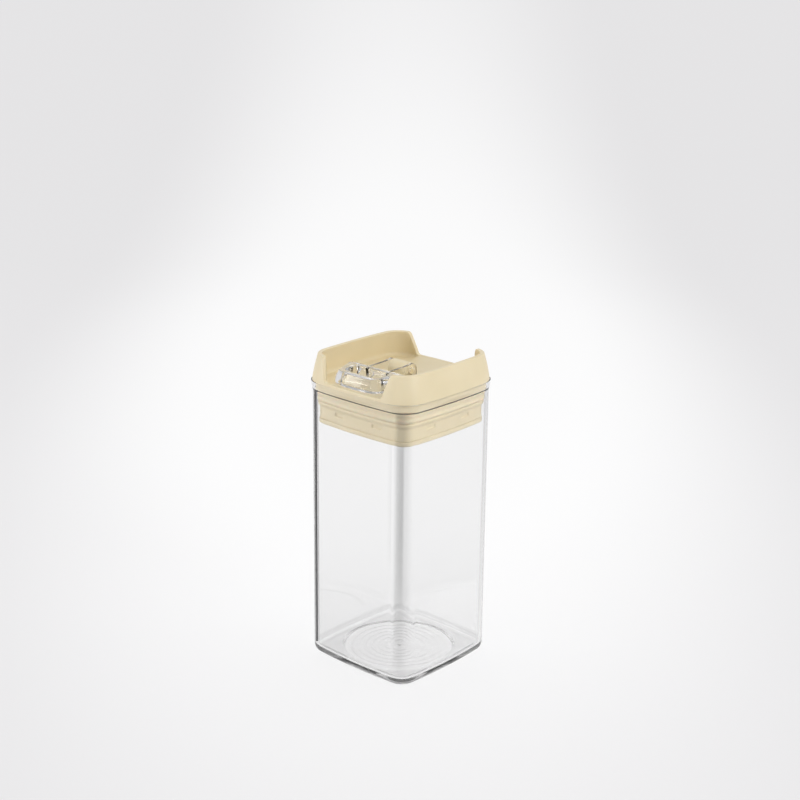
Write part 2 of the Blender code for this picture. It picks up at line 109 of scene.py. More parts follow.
class NodeSketch:
    """A material's node tree, with short calls to add and join nodes."""

    def __init__(self, name: str) -> None:
        """Start an empty material that ends in a Principled shader.

        Args:
            name: the material's name.
        """
        self.material = bpy.data.materials.new(name)
        self.material.use_nodes = True
        self.tree = self.material.node_tree
        self.shader = self.tree.nodes["Principled BSDF"]
        self.output = self.tree.nodes["Material Output"]
        self.place = self.add("ShaderNodeTexCoord").outputs["Object"]

    def feed(self, socket: bpy.types.NodeSocket, value: object) -> None:
        """Link a node's input to another node's output, or give it a constant.

        Args:
            socket: the input.
            value: an output socket or a constant.
        """
        if isinstance(value, bpy.types.NodeSocket):
            self.tree.links.new(value, socket)
        else:
            socket.default_value = value

    def add(self, kind: str, settings: dict | None = None, **inputs: object) -> bpy.types.Node:
        """Add one node, set its options and its inputs.

        Args:
            kind: the node's type name.
            settings: attributes of the node itself.
            inputs: socket names, spaces written as underscores, with a value or a socket to link.

        Returns:
            The node.
        """
        node = self.tree.nodes.new(kind)
        for key, value in (settings or {}).items():
            setattr(node, key, value)
        for key, value in inputs.items():
            self.feed(node.inputs[key.replace("_", " ")], value)
        return node

    def arithmetic(self, operation: str, *values: object) -> bpy.types.NodeSocket:
        """Work out a value with a math node.

        Args:
            operation: the node's operation.
            values: its inputs in order, each a socket or a number.

        Returns:
            The result's socket.
        """
        node = self.add("ShaderNodeMath", {"operation": operation})
        for socket, value in zip(node.inputs, values):
            self.feed(socket, value)
        return node.outputs["Value"]

    def noise(
        self, size_mm: float, detail: float = 3.0, stretch: Sequence[float] = (1, 1, 1)
    ) -> bpy.types.NodeSocket:
        """Noise whose lumps are about size_mm across.

        Args:
            size_mm: the lumps' size in millimetres.
            detail: how many finer octaves are added.
            stretch: how the place is scaled along each axis first.

        Returns:
            The noise's value socket, from 0 to 1.
        """
        mapped = self.add("ShaderNodeMapping", Vector=self.place, Scale=stretch).outputs["Vector"]
        scale = 1 / (size_mm * MILLIMETRE)
        return self.add("ShaderNodeTexNoise", Vector=mapped, Scale=scale, Detail=detail).outputs["Fac"]

    def spread(self, value: bpy.types.NodeSocket, low: float, high: float) -> bpy.types.NodeSocket:
        """Map the middle of a noise onto a range.

        Args:
            value: a noise's value socket.
            low: what NOISE_LOW becomes.
            high: what NOISE_HIGH becomes.

        Returns:
            The mapped value's socket.
        """
        node = self.add("ShaderNodeMapRange", Value=value, From_Min=NOISE_LOW, From_Max=NOISE_HIGH)
        self.feed(node.inputs["To Min"], low)
        self.feed(node.inputs["To Max"], high)
        return node.outputs["Result"]

    def shades(self, value: bpy.types.NodeSocket, low: str, high: str) -> bpy.types.NodeSocket:
        """Mix two hex colours by a value.

        Args:
            value: a socket from 0 to 1.
            low: the colour at 0.
            high: the colour at 1.

        Returns:
            The mixed colour's socket.
        """
        node = self.add("ShaderNodeMix", {"data_type": "RGBA"}, Factor=value)
        colours = [socket for socket in node.inputs if socket.type == "RGBA"]
        colours[0].default_value = linear(low)
        colours[1].default_value = linear(high)
        return next(socket for socket in node.outputs if socket.type == "RGBA")

    def bump(self, height: bpy.types.NodeSocket, depth_mm: float) -> bpy.types.NodeSocket:
        """Raise a surface by a height map.

        Args:
            height: a value socket from 0 to 1.
            depth_mm: the relief's depth in millimetres.

        Returns:
            The normal's socket.
        """
        return self.add("ShaderNodeBump", Height=height, Distance=depth_mm * MILLIMETRE).outputs["Normal"]

    def set(self, **inputs: object) -> None:
        """Set or link the Principled shader's own sockets.

        Args:
            inputs: socket names, spaces written as underscores, with a value or a socket.
        """
        for key, value in inputs.items():
            self.feed(self.shader.inputs[key.replace("_", " ")], value)


@dataclass(frozen=True)
class MouldedCream:
    """Injection-moulded ABS in warm cream, with the fine spark-eroded grain of its mould."""

    name: str = "moulded_cream_abs"
    light: str = "#E8DAB9"
    dark: str = "#E3D5B2"
    swirl_mm: float = 26
    satin_mm: float = 4
    grain_mm: float = 0.35
    grain_depth_mm: float = 0.006
    shine_low: float = 0.36
    shine_high: float = 0.46
    bleed: tuple[float, float, float] = (1.0, 0.8, 0.5)

    def build(self) -> bpy.types.Material:
        """Make the material: pigment swirl, spark-eroded grain and a satin that varies.

        Returns:
            The material.
        """
        sketch = NodeSketch(self.name)
        swirl = sketch.noise(self.swirl_mm, 2)
        grain = sketch.noise(self.grain_mm, 2)
        sketch.set(
            Base_Color=sketch.shades(sketch.spread(swirl, 0, 1), self.dark, self.light),
            Roughness=sketch.spread(sketch.noise(self.satin_mm, 3), self.shine_low, self.shine_high),
            Normal=sketch.bump(grain, self.grain_depth_mm),
            IOR=1.5,
            Subsurface_Weight=0.12,
            Subsurface_Scale=0.0015,
            Subsurface_Radius=self.bleed,
            Specular_IOR_Level=0.42,
        )
        return sketch.material


@dataclass(frozen=True)
class MouldedSilicone:
    """Compression-moulded silicone rubber in the lid's cream: matt, soft and slightly dusty."""

    name: str = "moulded_cream_silicone"
    light: str = "#EADDBE"
    dark: str = "#E4D6B5"
    dust_mm: float = 1.2
    dull_mm: float = 2.5
    skin_mm: float = 0.5
    skin_depth_mm: float = 0.006

    def build(self) -> bpy.types.Material:
        """Make the material: an even pigment, a dull skin and faint dust.

        Returns:
            The material.
        """
        sketch = NodeSketch(self.name)
        dust = sketch.spread(sketch.noise(self.dust_mm, 4), 0, 1)
        sketch.set(
            Base_Color=sketch.shades(dust, self.dark, self.light),
            Roughness=sketch.spread(sketch.noise(self.dull_mm, 3), 0.55, 0.68),
            Normal=sketch.bump(sketch.noise(self.skin_mm, 2), self.skin_depth_mm),
            IOR=1.43,
            Subsurface_Weight=0.2,
            Subsurface_Scale=0.002,
            Sheen_Weight=0.08,
        )
        return sketch.material


@dataclass(frozen=True)
class TurnedSteel:
    """Stainless steel wire and turned stainless fixings: fine drawn lines round the piece."""

    name: str = "drawn_stainless_steel"
    light: str = "#CFCFCE"
    dark: str = "#B3B4B5"
    streak_mm: float = 0.25
    streak_depth_mm: float = 0.002
    streak_stretch: tuple[float, float, float] = (1, 1, 0.06)

    def build(self) -> bpy.types.Material:
        """Make the material: streaks along the draw and a roughness that follows them.

        Returns:
            The material.
        """
        sketch = NodeSketch(self.name)
        streaks = sketch.noise(self.streak_mm, 3, self.streak_stretch)
        sketch.set(
            Base_Color=sketch.shades(sketch.spread(streaks, 0, 1), self.dark, self.light),
            Metallic=1.0,
            Roughness=sketch.spread(streaks, 0.18, 0.34),
            Normal=sketch.bump(streaks, self.streak_depth_mm),
        )
        return sketch.material


@dataclass(frozen=True)
class ClearAcrylic:
    """Clear injection-moulded acrylic, polished in the mould, with faint flow waves and wiping marks."""

    name: str
    tint: str = "#FBFBFB"
    # The body's painted shade colour; on the lever, the colour of a random mottle.
    painted_shade_and_mottle_tint: str = "#DBDBDB"
    corner: bool = False
    foot_roughness: float = 0.36
    wave_mm: float = 38.0
    wave_depth_mm: float = 0.010
    wave_stretch: tuple[float, float, float] = (1, 1, 0.35)
    mark_mm: float = 0.8
    mark_stretch: tuple[float, float, float] = (1, 1, 0.05)
    mark_roughness: float = 0.05
    lamp_share: str = "#F2F2F2"

    def build(self) -> bpy.types.Material:
        """Make the material: refraction, flow waves, wiping marks and painted shade on the body's walls.

        The body's mesh carries two attributes: one says how much painted shade a place takes and
        "frost" how dull its skin is. Lamps' rays pass it, as they do with clear plastic, so what it
        encloses stays lit.

        Returns:
            The material.
        """
        sketch = NodeSketch(self.name)
        waves = sketch.bump(sketch.noise(self.wave_mm, 1, self.wave_stretch), self.wave_depth_mm)
        marks = sketch.noise(self.mark_mm, 4, self.mark_stretch)
        marked = sketch.add("ShaderNodeMapRange", Value=marks, From_Min=0.55, From_Max=0.75)
        sketch.feed(marked.inputs["To Max"], self.mark_roughness)
        rough = marked.outputs["Result"]
        if self.corner:
            # Painted shade: a share from the body's mesh greys its corners, bend and base.
            corner = sketch.add("ShaderNodeAttribute", {"attribute_name": "painted_shade"}).outputs["Fac"]
            frost = sketch.add("ShaderNodeAttribute", {"attribute_name": "frost"}).outputs["Fac"]
            rough = sketch.arithmetic("MULTIPLY_ADD", frost, self.foot_roughness, rough)
        else:
            # The lever's grey varies at random, by a noise.
            corner = sketch.spread(sketch.noise(6.0, 2), 0, 0.3)
        sketch.set(
            Base_Color=sketch.shades(corner, self.tint, self.painted_shade_and_mottle_tint),
            Roughness=rough,
            Normal=waves,
            IOR=1.49,
            Transmission_Weight=1.0,
        )
        lamp = sketch.add("ShaderNodeLightPath").outputs["Is Shadow Ray"]
        through = sketch.add("ShaderNodeBsdfTransparent", Color=linear(self.lamp_share)).outputs["BSDF"]
        mix = sketch.add("ShaderNodeMixShader", Fac=lamp)
        sketch.tree.links.new(sketch.shader.outputs["BSDF"], mix.inputs[1])
        sketch.tree.links.new(through, mix.inputs[2])
        sketch.tree.links.new(mix.outputs["Shader"], sketch.output.inputs["Surface"])
        return sketch.material


@dataclass(frozen=True)
class GlowingFloorPaintedPool:
    """Opal acrylic floor and sweep, cast in a sheet, that glows, with a painted pool of light down the set.
    """

    name: str = "floor_painted_light_pool"
    # Painted light: colours near the pool's middle and far from it, for the glow and for the base.
    near: str = "#FDFDFD"
    far: str = "#E7E6E7"
    skin: str = "#7E7E7F"
    skin_far: str = "#737374"
    painted_glow: float = 0.80
    middle: tuple[float, float, float] = (-0.469, 0.519, 0.0)
    turn: float = 42.1
    reach: tuple[float, float, float] = (0.40, 1.10, 1.60)
    even: float = 0.45
    end: float = 1.10

    def build(self) -> bpy.types.Material:
        """Make the material: a painted pool of light down the set, darker away from it, and a fine matt skin.

        The pool is an ellipsoid. The glow falls on a smooth step of the distance from its middle,
        which counts 1 at its three half axes.

        Returns:
            The material.
        """
        sketch = NodeSketch(self.name)
        mapped = sketch.add(
            "ShaderNodeMapping",
            {"vector_type": "TEXTURE"},
            Vector=sketch.place,
            Location=self.middle,
            Rotation=(0, 0, math.radians(self.turn)),
            Scale=self.reach,
        )
        away = sketch.add("ShaderNodeVectorMath", {"operation": "LENGTH"})
        sketch.feed(away.inputs[0], mapped.outputs["Vector"])
        share = sketch.add(
            "ShaderNodeMapRange",
            {"interpolation_type": "SMOOTHSTEP"},
            Value=away.outputs["Value"],
            From_Min=self.even,
            From_Max=self.end,
        )
        # Painted light: the glow and the base colour both fall off away from the pool's middle.
        painted_falloff = share.outputs["Result"]
        colour = sketch.shades(painted_falloff, self.near, self.far)
        sketch.set(
            Base_Color=sketch.shades(painted_falloff, self.skin, self.skin_far),
            Emission_Color=colour,
            Emission_Strength=self.painted_glow,
            Roughness=sketch.spread(sketch.noise(3, 2), 0.75, 0.85),
            Normal=sketch.bump(sketch.noise(0.7, 2), 0.01),
            Specular_IOR_Level=0.1,
        )
        return sketch.material


@dataclass(frozen=True)
class BlackFlock:
    """Black flocked card, which paints a dark edge, a painted shade, into a clear thing that stands beside
    it.
    """

    name: str = "black_flocked_card"
    light: str = "#1A1A1B"
    dark: str = "#0C0C0D"

    def build(self) -> bpy.types.Material:
        """Make the material: a rough black nap.

        Returns:
            The material.
        """
        sketch = NodeSketch(self.name)
        nap = sketch.noise(1.5, 3)
        sketch.set(
            Base_Color=sketch.shades(sketch.spread(nap, 0, 1), self.dark, self.light),
            Roughness=sketch.spread(nap, 0.9, 1.0),
            Normal=sketch.bump(nap, 0.05),
            Specular_IOR_Level=0.1,
        )
        return sketch.material


# ---------------------------------------------------------------------------------- surfaces

SMALLEST_CORNER = 0.006


def arc(centre: Sequence[float], radius: float, start: float, end: float, steps: int) -> np.ndarray:
    """Points on a circle in a plane.

    Args:
        centre: the circle's centre.
        radius: its radius.
        start: the first angle in degrees.
        end: the last angle in degrees.
        steps: how many equal steps lie between them.

    Returns:
        An array of steps + 1 points.
    """
    angles = np.radians(np.linspace(start, end, steps + 1))
    return np.column_stack([centre[0] + radius * np.cos(angles), centre[1] + radius * np.sin(angles)])


def smooth_step(share: np.ndarray | float) -> np.ndarray | float:
    """Ease a share from 0 to 1 without a kink: three times its square less twice its cube."""
    return share * share * (3 - 2 * share)


@dataclass(frozen=True)
class BowedSquare:
    """A square whose sides bow outwards and whose round corners meet them without a kink.

    Places round it are given in sides: 0 is the middle of the front, 1 that of the right side, and
    halfway between them is the corner.
    """

    flat: float
    bow: float
    side_share: float = 0.6

    @property
    def side_radius(self) -> float:
        """The bowed side's radius, from its half length and its bow."""
        return (self.flat**2 + self.bow**2) / (2 * self.bow)

    @property
    def tilt(self) -> float:
        """How far the bowed side has turned at its end, in radians."""
        return math.asin(self.flat / self.side_radius)

    def place_of(self, along: np.ndarray, half: float) -> np.ndarray:
        """Find the place round the square from a distance along the side.

        Args:
            along: distances from the side's middle, measured round the outline.
            half: the square's half width.

        Returns:
            Places between 0 and a half, in sides.
        """
        length = self.side_radius * self.tilt
        radius = (half - self.bow - self.flat) / (math.cos(self.tilt) - math.sin(self.tilt))
        corner = radius * (math.pi / 4 - self.tilt)
        on_side = self.side_share * along / length
        on_corner = self.side_share + (1 - self.side_share) * (along - length) / corner
        return np.where(along <= length, on_side, on_corner) / 2

    def points(self, half: np.ndarray, place: np.ndarray) -> np.ndarray:
        """Find points on the outline.

        The side is an arc as wide as twice the flat, whose middle stands out by the bow. The corner is
        an arc about a centre on the diagonal, with the radius that gives both arcs one tangent where
        they meet. Each half side is worked out once, and turned by a quarter for each side.

        Args:
            half: half widths at the middle of a side, one or one for each place.
            place: places round the square, in sides.

        Returns:
            An array of (x, y) points.
        """
        side = np.round(place)
        offset = (place - side) * 2
        share = np.abs(offset)
        radius = (half - self.bow - self.flat) / (math.cos(self.tilt) - math.sin(self.tilt))
        middle = half - self.bow - radius * math.cos(self.tilt)
        on_side = share <= self.side_share
        side_angle = self.tilt * share / self.side_share
        turn = (share - self.side_share) / (1 - self.side_share)
        corner_angle = self.tilt + (math.pi / 4 - self.tilt) * turn
        flat_out = half - self.side_radius * (1 - np.cos(side_angle))
        flat_along = self.side_radius * np.sin(side_angle)
        out = np.where(on_side, flat_out, middle + radius * np.cos(corner_angle))
        along = np.where(on_side, flat_along, middle + radius * np.sin(corner_angle))
        along = along * np.sign(offset)
        angle = (side - 1) * math.pi / 2
        return np.column_stack(
            [out * np.cos(angle) - along * np.sin(angle), out * np.sin(angle) + along * np.cos(angle)]
        )


@dataclass(frozen=True)
class Station:
    """One ring of a lofted piece: a bowed square, a circle or a mix of both, at one level."""

    shape: BowedSquare
    half: float
    level: float
    roundness: float = 0.0

    def ring(self, place: np.ndarray) -> np.ndarray:
        """Find the ring's points.

        A ring too small for the square's flat sides is a larger one scaled down, and the roundness
        slides each point on a straight line towards the circle.

        Args:
            place: places round the square, in sides.

        Returns:
            An array of (x, y, z) points.
        """
        level = np.full(len(place), self.level)
        angle = (place - 1) * math.pi / 2
        circle = self.half * np.column_stack([np.cos(angle), np.sin(angle)])
        if self.roundness >= 1:
            return np.column_stack([circle, level])
        reference = max(self.half, self.shape.flat + self.shape.bow + SMALLEST_CORNER)
        square = self.shape.points(reference, place) * (self.half / reference)
        return np.column_stack([square + (circle - square) * self.roundness, level])


def even_places(side_steps: int, corner_steps: int, shape: BowedSquare) -> np.ndarray:
    """Places round a bowed square, with more of them on its corners.

    Args:
        side_steps: steps on each half of a side.
        corner_steps: steps on each half of a corner.
        shape: the square.

    Returns:
        Places from -0.5 to 3.5, in sides, without the last one that closes the ring.
    """
    side = np.linspace(0, shape.side_share, side_steps + 1)
    corner = np.linspace(shape.side_share, 1, corner_steps + 1)[1:]
    half = np.concatenate([side, corner]) / 2
    whole = np.concatenate([-half[::-1], half[1:]])
    return np.concatenate([whole[:-1] + k for k in range(4)])


def read_points(mesh: bpy.types.Mesh) -> np.ndarray:
    """Read a mesh's vertices.

    Args:
        mesh: the mesh.

    Returns:
        (x, y, z) rows.
    """
    points = np.empty(len(mesh.vertices) * 3)
    mesh.vertices.foreach_get("co", points)
    return points.reshape(-1, 3)


def finish_mesh(name: str, points: np.ndarray, faces: list, smooth_angle: float) -> bpy.types.Object:
    """Make an object of points and faces, with its normals outward and its edges shaded.

    Args:
        name: the object's name.
        points: (x, y, z) rows.
        faces: lists of point numbers.
        smooth_angle: edges sharper than this many degrees stay crisp.

    Returns:
        The object, at the origin.
    """
    mesh = bpy.data.meshes.new(name)
    mesh.from_pydata(points.tolist(), [], faces)
    mesh.validate()
    obj = bpy.data.objects.new(name, mesh)
    bpy.context.scene.collection.objects.link(obj)
    face_outward(obj)
    mesh.shade_smooth()
    mesh.set_sharp_from_angle(angle=math.radians(smooth_angle))
    return obj


def face_outward(obj: bpy.types.Object) -> None:
    """Turn a closed mesh's faces so that its volume counts as positive.

    The volume is the sum of the tetrahedra between each triangle and the origin.

    Args:
        obj: the object whose mesh is turned.
    """
    mesh = obj.data
    mesh.calc_loop_triangles()
    corners = np.empty(len(mesh.loop_triangles) * 3, np.int32)
    mesh.loop_triangles.foreach_get("vertices", corners)
    a, b, c = read_points(mesh)[corners.reshape(-1, 3)].transpose(1, 0, 2)
    if np.einsum("ij,ij->i", a, np.cross(b, c)).sum() < 0:
        mesh.flip_normals()


def skin(name: str, rows: Sequence[np.ndarray], closed: bool, smooth_angle: float = 40) -> bpy.types.Object:
    """Skin rings of equal length into one closed surface.

    Args:
        name: the object's name.
        rows: the rings, in order. Where the surface isn't closed on itself, its ends get a pole.
        closed: whether the last ring joins the first.
        smooth_angle: edges sharper than this many degrees stay crisp.

    Returns:
        The object.
    """
    count = len(rows[0])
    points = np.concatenate(rows)
    near = np.arange(count)
    far = np.roll(near, -1)
    faces = []
    for k in range(len(rows) if closed else len(rows) - 1):
        low, high = k * count, (k + 1) % len(rows) * count
        faces += np.column_stack([low + near, low + far, high + far, high + near]).tolist()
    if not closed:
        poles = np.array([rows[0].mean(axis=0), rows[-1].mean(axis=0)])
        first, last = len(points), len(points) + 1
        points = np.concatenate([points, poles])
        base = (len(rows) - 1) * count
        faces += np.column_stack([far, near, np.full(count, first)]).tolist()
        faces += np.column_stack([base + near, base + far, np.full(count, last)]).tolist()
    return finish_mesh(name, points, faces, smooth_angle)


def loft(
    name: str, stations: Sequence[Station], place: np.ndarray, closed: bool = False
) -> bpy.types.Object:
    """Skin a chain of stations.

    Args:
        name: the object's name.
        stations: the rings from one end to the other.
        place: places round them, in sides.
        closed: whether the last ring joins the first.

    Returns:
        The object.
    """
    return skin(name, [station.ring(place) for station in stations], closed)


def prism(name: str, outline: np.ndarray, low: float, high: float) -> bpy.types.Object:
    """Extrude an outline across, along X.

    Args:
        name: the object's name.
        outline: (y, z) points.
        low: where it starts.
        high: where it ends.

    Returns:
        The object.
    """
    rings = [np.column_stack([np.full(len(outline), x), outline]) for x in (low, high)]
    count = len(outline)
    near = np.arange(count)
    far = np.roll(near, -1)
    faces = np.column_stack([near, far, count + far, count + near]).tolist()
    faces += [near[::-1].tolist(), (count + near).tolist()]
    return finish_mesh(name, np.concatenate(rings), faces, 40)


def bake(obj: bpy.types.Object, smooth_angle: float = 35) -> bpy.types.Object:
    """Apply an object's modifiers to its mesh.

    Args:
        obj: the object.
        smooth_angle: edges sharper than this many degrees stay crisp.

    Returns:
        The same object.
    """
    bpy.context.view_layer.update()
    evaluated = obj.evaluated_get(bpy.context.evaluated_depsgraph_get())
    mesh = bpy.data.meshes.new_from_object(evaluated)
    obj.modifiers.clear()
    obj.data = mesh
    mesh.shade_smooth()
    mesh.set_sharp_from_angle(angle=math.radians(smooth_angle))
    return obj


def soften(obj: bpy.types.Object, width: float, segments: int = 4, angle: float = 50) -> bpy.types.Object:
    """Round an object's edges and apply it.

    Args:
        obj: the object.
        width: the rounding's width.
        segments: how many faces make the round.
        angle: edges sharper than this many degrees are rounded.

    Returns:
        The same object.
    """
    bevel = obj.modifiers.new("round", "BEVEL")
    bevel.width = width
    bevel.segments = segments
    bevel.limit_method = "ANGLE"
    bevel.angle_limit = math.radians(angle)
    bevel.harden_normals = False
    return bake(obj)


def combine(obj: bpy.types.Object, tool: bpy.types.Object, join: Join) -> None:
    """Join a tool to an object, or cut it away, and remove the tool.

    Args:
        obj: the object.
        tool: the other object.
        join: whether the tool is added or cut away.
    """
    modifier = obj.modifiers.new("combine", "BOOLEAN")
    modifier.operation = join.value
    modifier.solver = "EXACT"
    modifier.object = tool
    bake(obj)
    bpy.data.objects.remove(tool, do_unlink=True)


@dataclass
class Piece:
    """A base for the sub-assemblies: it dresses what they make."""

    def dress(self, obj: bpy.types.Object, material: bpy.types.Material, slot: Slot, *nodes: str) -> None:
        """Give an object its material and hide the CAD nodes that it stands for.

        Args:
            obj: the object.
            material: its material.
            slot: the record's slot for its finish; not used.
            nodes: CAD nodes that it replaces.
        """
        obj.data.materials.clear()
        obj.data.materials.append(material)
        if nodes:
            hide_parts(*nodes)
        LOG.info("%s: %d faces, %s", obj.name, len(obj.data.polygons), material.name)


BODY_SHAPE = BowedSquare(0.0320, 0.0014)
COLLAR_SHAPE = BowedSquare(0.0300, 0.0009)
COVER_SHAPE = BowedSquare(0.0285, 0.0009)


def fillet(
    shape: BowedSquare, half: float, level: float, radius: float, start: float, end: float, steps: int = 8
) -> list[Station]:
    """Stations round a fillet.

    Args:
        shape: the rings' shape.
        half: half width at the fillet's centre.
        level: level of the fillet's centre.
        radius: the fillet's radius.
        start: the first angle in degrees, where 0 points outwards and 90 up.
        end: the last angle in degrees.
        steps: how many steps it takes.

    Returns:
        The stations.
    """
    return [Station(shape, a, z) for a, z in arc((half, level), radius, start, end, steps).tolist()]


# ---------------------------------------------------------------------------- canister body


@dataclass
class CanisterBody(Piece):
    """The clear body: thick base with a round recess, bowed walls, flare and collar."""

    half: float = 0.0450
    wall: float = 0.0030
    floor: float = 0.0040
    base_fillet: float = 0.0051
    inner_fillet: float = 0.0028
    flare_low: float = 0.1830
    ledge: float = 0.1850
    rim: float = 0.1905
    collar_half: float = 0.0464
    collar_wall: float = 0.0023
    recess: float = 0.0360
    recess_depth: float = 0.0008
    gate: float = 0.0016
    recess_ramp: float = 0.0034
    recess_lines: tuple[float, ...] = (0.0080, 0.0125, 0.0170, 0.0215, 0.0260, 0.0305)
    line_half: float = 0.0008
    line_rise: float = 0.0001
    bead: tuple[tuple[float, float], ...] = (
        (0.0003, 0.0),
        (0.0006, 0.00015),
        (0.0010, 0.0003),
        (0.0014, 0.00015),
        (0.0017, 0.0),
    )
    rim_round: float = 0.0001
    disc_frost: float = 0.4
    frost_edge: float = 0.0001
    # Painted shade on the clear body: greyer towards the base, across the corners and in the bend.
    base_painted_shade: float = 0.24
    shade_reach: float = 0.13
    shade_power: float = 1.3
    shade_rise: tuple[float, float] = (-0.32, 0.06)
    shade_fall: tuple[float, float] = (-0.16, 0.52)
    corner_fade: float = 0.035
    corner_least: float = 0.2
    bend_ends: tuple[float, float] = (0.0004, 0.0012)

    def underside(self) -> list[Station]:
        """The recessed underside, from the gate mark to the foot.

        The gate mark is a shallow dome, the turned lines are low ridges, and the recess rises from the
        foot on a smooth step.

        Returns:
            Stations from the middle outwards.
        """
        top = self.recess_depth

        def circle(radius: float, level: float) -> Station:
            """One round station."""
            return Station(BODY_SHAPE, radius, level, 1.0)

        stations = [circle(self.gate * 0.5, top - 0.00055), circle(self.gate * 0.85, top - 0.00050)]
        stations += [circle(self.gate, top - 0.0003), circle(self.gate + 0.0003, top)]
        for line in self.recess_lines:
            steps = ((-self.line_half, 0), (0, self.line_rise), (self.line_half, 0))
            stations += [circle(line + step, top - rise) for step, rise in steps]
        for share in np.linspace(0, 1, 13).tolist():
            radius = self.recess + self.recess_ramp * (share - 0.5)
            stations.append(circle(radius, top * (1 - smooth_step(share))))
        edge = self.half - self.base_fillet
        inner = self.recess + self.recess_ramp / 2
        for share in (0.35, 0.7):
            stations.append(Station(BODY_SHAPE, inner + (edge - inner) * share, 0.0, 1 - share))
        return stations

    def outside(self) -> list[Station]:
        """The foot's fillet, the wall, the flare and the collar up to its rim.

        Returns:
            Stations from the foot upwards.
        """
        round_ = self.base_fillet
        stations = fillet(BODY_SHAPE, self.half - round_, round_, round_, -90, 0, 12)
        stations += [Station(BODY_SHAPE, self.half, z) for z in (0.0060, 0.02, 0.06, 0.10, 0.14, 0.17, 0.181)]
        stations += [
            Station(BODY_SHAPE, self.half, self.flare_low),
            Station(BODY_SHAPE, self.half + 0.0001, self.ledge - 0.0012),
            Station(BODY_SHAPE, self.half + 0.0003, self.ledge - 0.0003),
            Station(BODY_SHAPE, self.half + 0.0006, self.ledge + 0.0006),
            Station(COLLAR_SHAPE, self.half + 0.0009, self.ledge + 0.0013),
            Station(COLLAR_SHAPE, self.half + 0.0012, self.ledge + 0.0021),
            Station(COLLAR_SHAPE, self.collar_half, self.ledge + 0.0034),
            Station(COLLAR_SHAPE, self.collar_half, self.rim - 0.0006),
        ]
        radius = self.rim_round
        stations += fillet(COLLAR_SHAPE, self.collar_half - radius, self.rim - radius, radius, 0, 90, 4)
        return stations

    def inside(self) -> list[Station]:
        """The collar's inner side, the ledge, the inner wall and the floor.

        Returns:
            Stations from the rim down and inwards.
        """
        radius = self.rim_round
        face = self.collar_half - self.collar_wall
        inner = self.half - self.wall
        stations = fillet(COLLAR_SHAPE, face + radius, self.rim - radius, radius, 90, 180, 4)
        stations += [
            Station(COLLAR_SHAPE, face, self.rim - 0.0010),
            Station(COLLAR_SHAPE, face - 0.0001, self.ledge + 0.0006),
            Station(COLLAR_SHAPE, face - 0.0004, self.ledge),
            Station(BODY_SHAPE, inner + 0.0009, self.ledge),
            Station(BODY_SHAPE, inner + 0.0004, self.ledge - 0.0002),
            Station(BODY_SHAPE, inner + 0.0001, self.ledge - 0.0006),
            Station(BODY_SHAPE, inner, self.ledge - 0.0014),
        ]
        stations += [Station(BODY_SHAPE, inner, z) for z in (0.18, 0.17, 0.14, 0.10, 0.06, 0.02, 0.0090)]
        centre = inner - self.inner_fillet
        low = self.floor + self.inner_fillet
        stations += fillet(BODY_SHAPE, centre, low, self.inner_fillet, 0, -90, 12)
        # A fine bead runs round the floor, where the core's insert meets its corner.
        stations += [Station(BODY_SHAPE, centre - inset, self.floor + rise) for inset, rise in self.bead]
        for share in (0.06, 0.25, 0.5, 0.75, 0.97):
            stations.append(Station(BODY_SHAPE, centre * (1 - share), self.floor, share))
        return stations

    def painted_shades(self, corner: np.ndarray, halves: np.ndarray, levels: np.ndarray) -> np.ndarray:
        """How much painted shade each vertex of the clear body takes, greying it where its walls look dark.

        A corner's painted shade rises in a straight line on one flank and falls on a smooth step over the
        rest.
        A wall's painted shade grows towards the base with the 1.3rd power of the way down from its reach. The
        bend between wall and floor has the painted shade in full.

        Args:
            corner: places along a side from -1 to 1, where both ends are corners' middles.
            halves: half widths.
            levels: heights.

        Returns:
            Shares from 0 to 1.
        """
        rise_start, rise_length = self.shade_rise
        fall_start, fall_length = self.shade_fall
        rise = np.clip((corner - rise_start) / rise_length, 0, 1)
        fall = np.clip((corner - fall_start) / fall_length, 0, 1)
        fade = np.clip(levels / self.corner_fade, self.corner_least, 1)
        painted_shade = rise * (1 - smooth_step(fall)) * fade
        base_shade = self.base_painted_shade * np.clip(1 - levels / self.shade_reach, 0, 1) ** self.shade_power
        walls = (levels > self.base_fillet) & (levels < self.ledge)
        painted_shades = (painted_shade * (1 - base_shade) + base_shade) * walls
        beyond = halves > self.recess + self.recess_ramp / 2
        inner = beyond & (halves < self.half - self.wall + 0.0001)
        low, high = self.bend_ends
        bend = (levels > self.floor + low) & (levels < self.floor + self.inner_fillet + high)
        return np.where(inner & bend, 1.0, painted_shades)

    def frosts(self, levels: np.ndarray) -> np.ndarray:
        """How dull each vertex is: the foot and the recess's ramp in full, the recess itself in part.

        Args:
            levels: heights.

        Returns:
            Shares from 0 to 1.
        """
        disc = (levels < self.recess_depth + self.frost_edge) * self.disc_frost
        return np.maximum(np.clip((self.recess_depth - levels) / self.frost_edge, 0, 1), disc)

    def build(self, material: bpy.types.Material) -> None:
        """Build the body.

        Args:
            material: the clear plastic.
        """
        place = even_places(14, 14, BODY_SHAPE)
        stations = self.underside() + self.outside() + self.inside()
        obj = loft("canister_shell", stations, place)
        # The last two vertices are the poles in the middle of the underside and of the floor.
        corner = np.append(np.tile((place - np.floor(place)) * 2 - 1, len(stations)), (1, 1))
        halves = np.append(np.repeat([station.half for station in stations], len(place)), (0, 0))
        levels = read_points(obj.data)[:, 2]
        # The painted shade goes into the colour, the frost into the roughness.
        shares = {"painted_shade": self.painted_shades(corner, halves, levels), "frost": self.frosts(levels)}
        for name, share in shares.items():
            data = obj.data.attributes.new(name, "FLOAT", "POINT").data
            data.foreach_set("value", share.astype(np.float32))
        self.dress(obj, material, Slot.CLEAR, "canister_body")
        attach(obj, Body.CANISTER.value)


# --------------------------------------------------------------------------------- lid cover


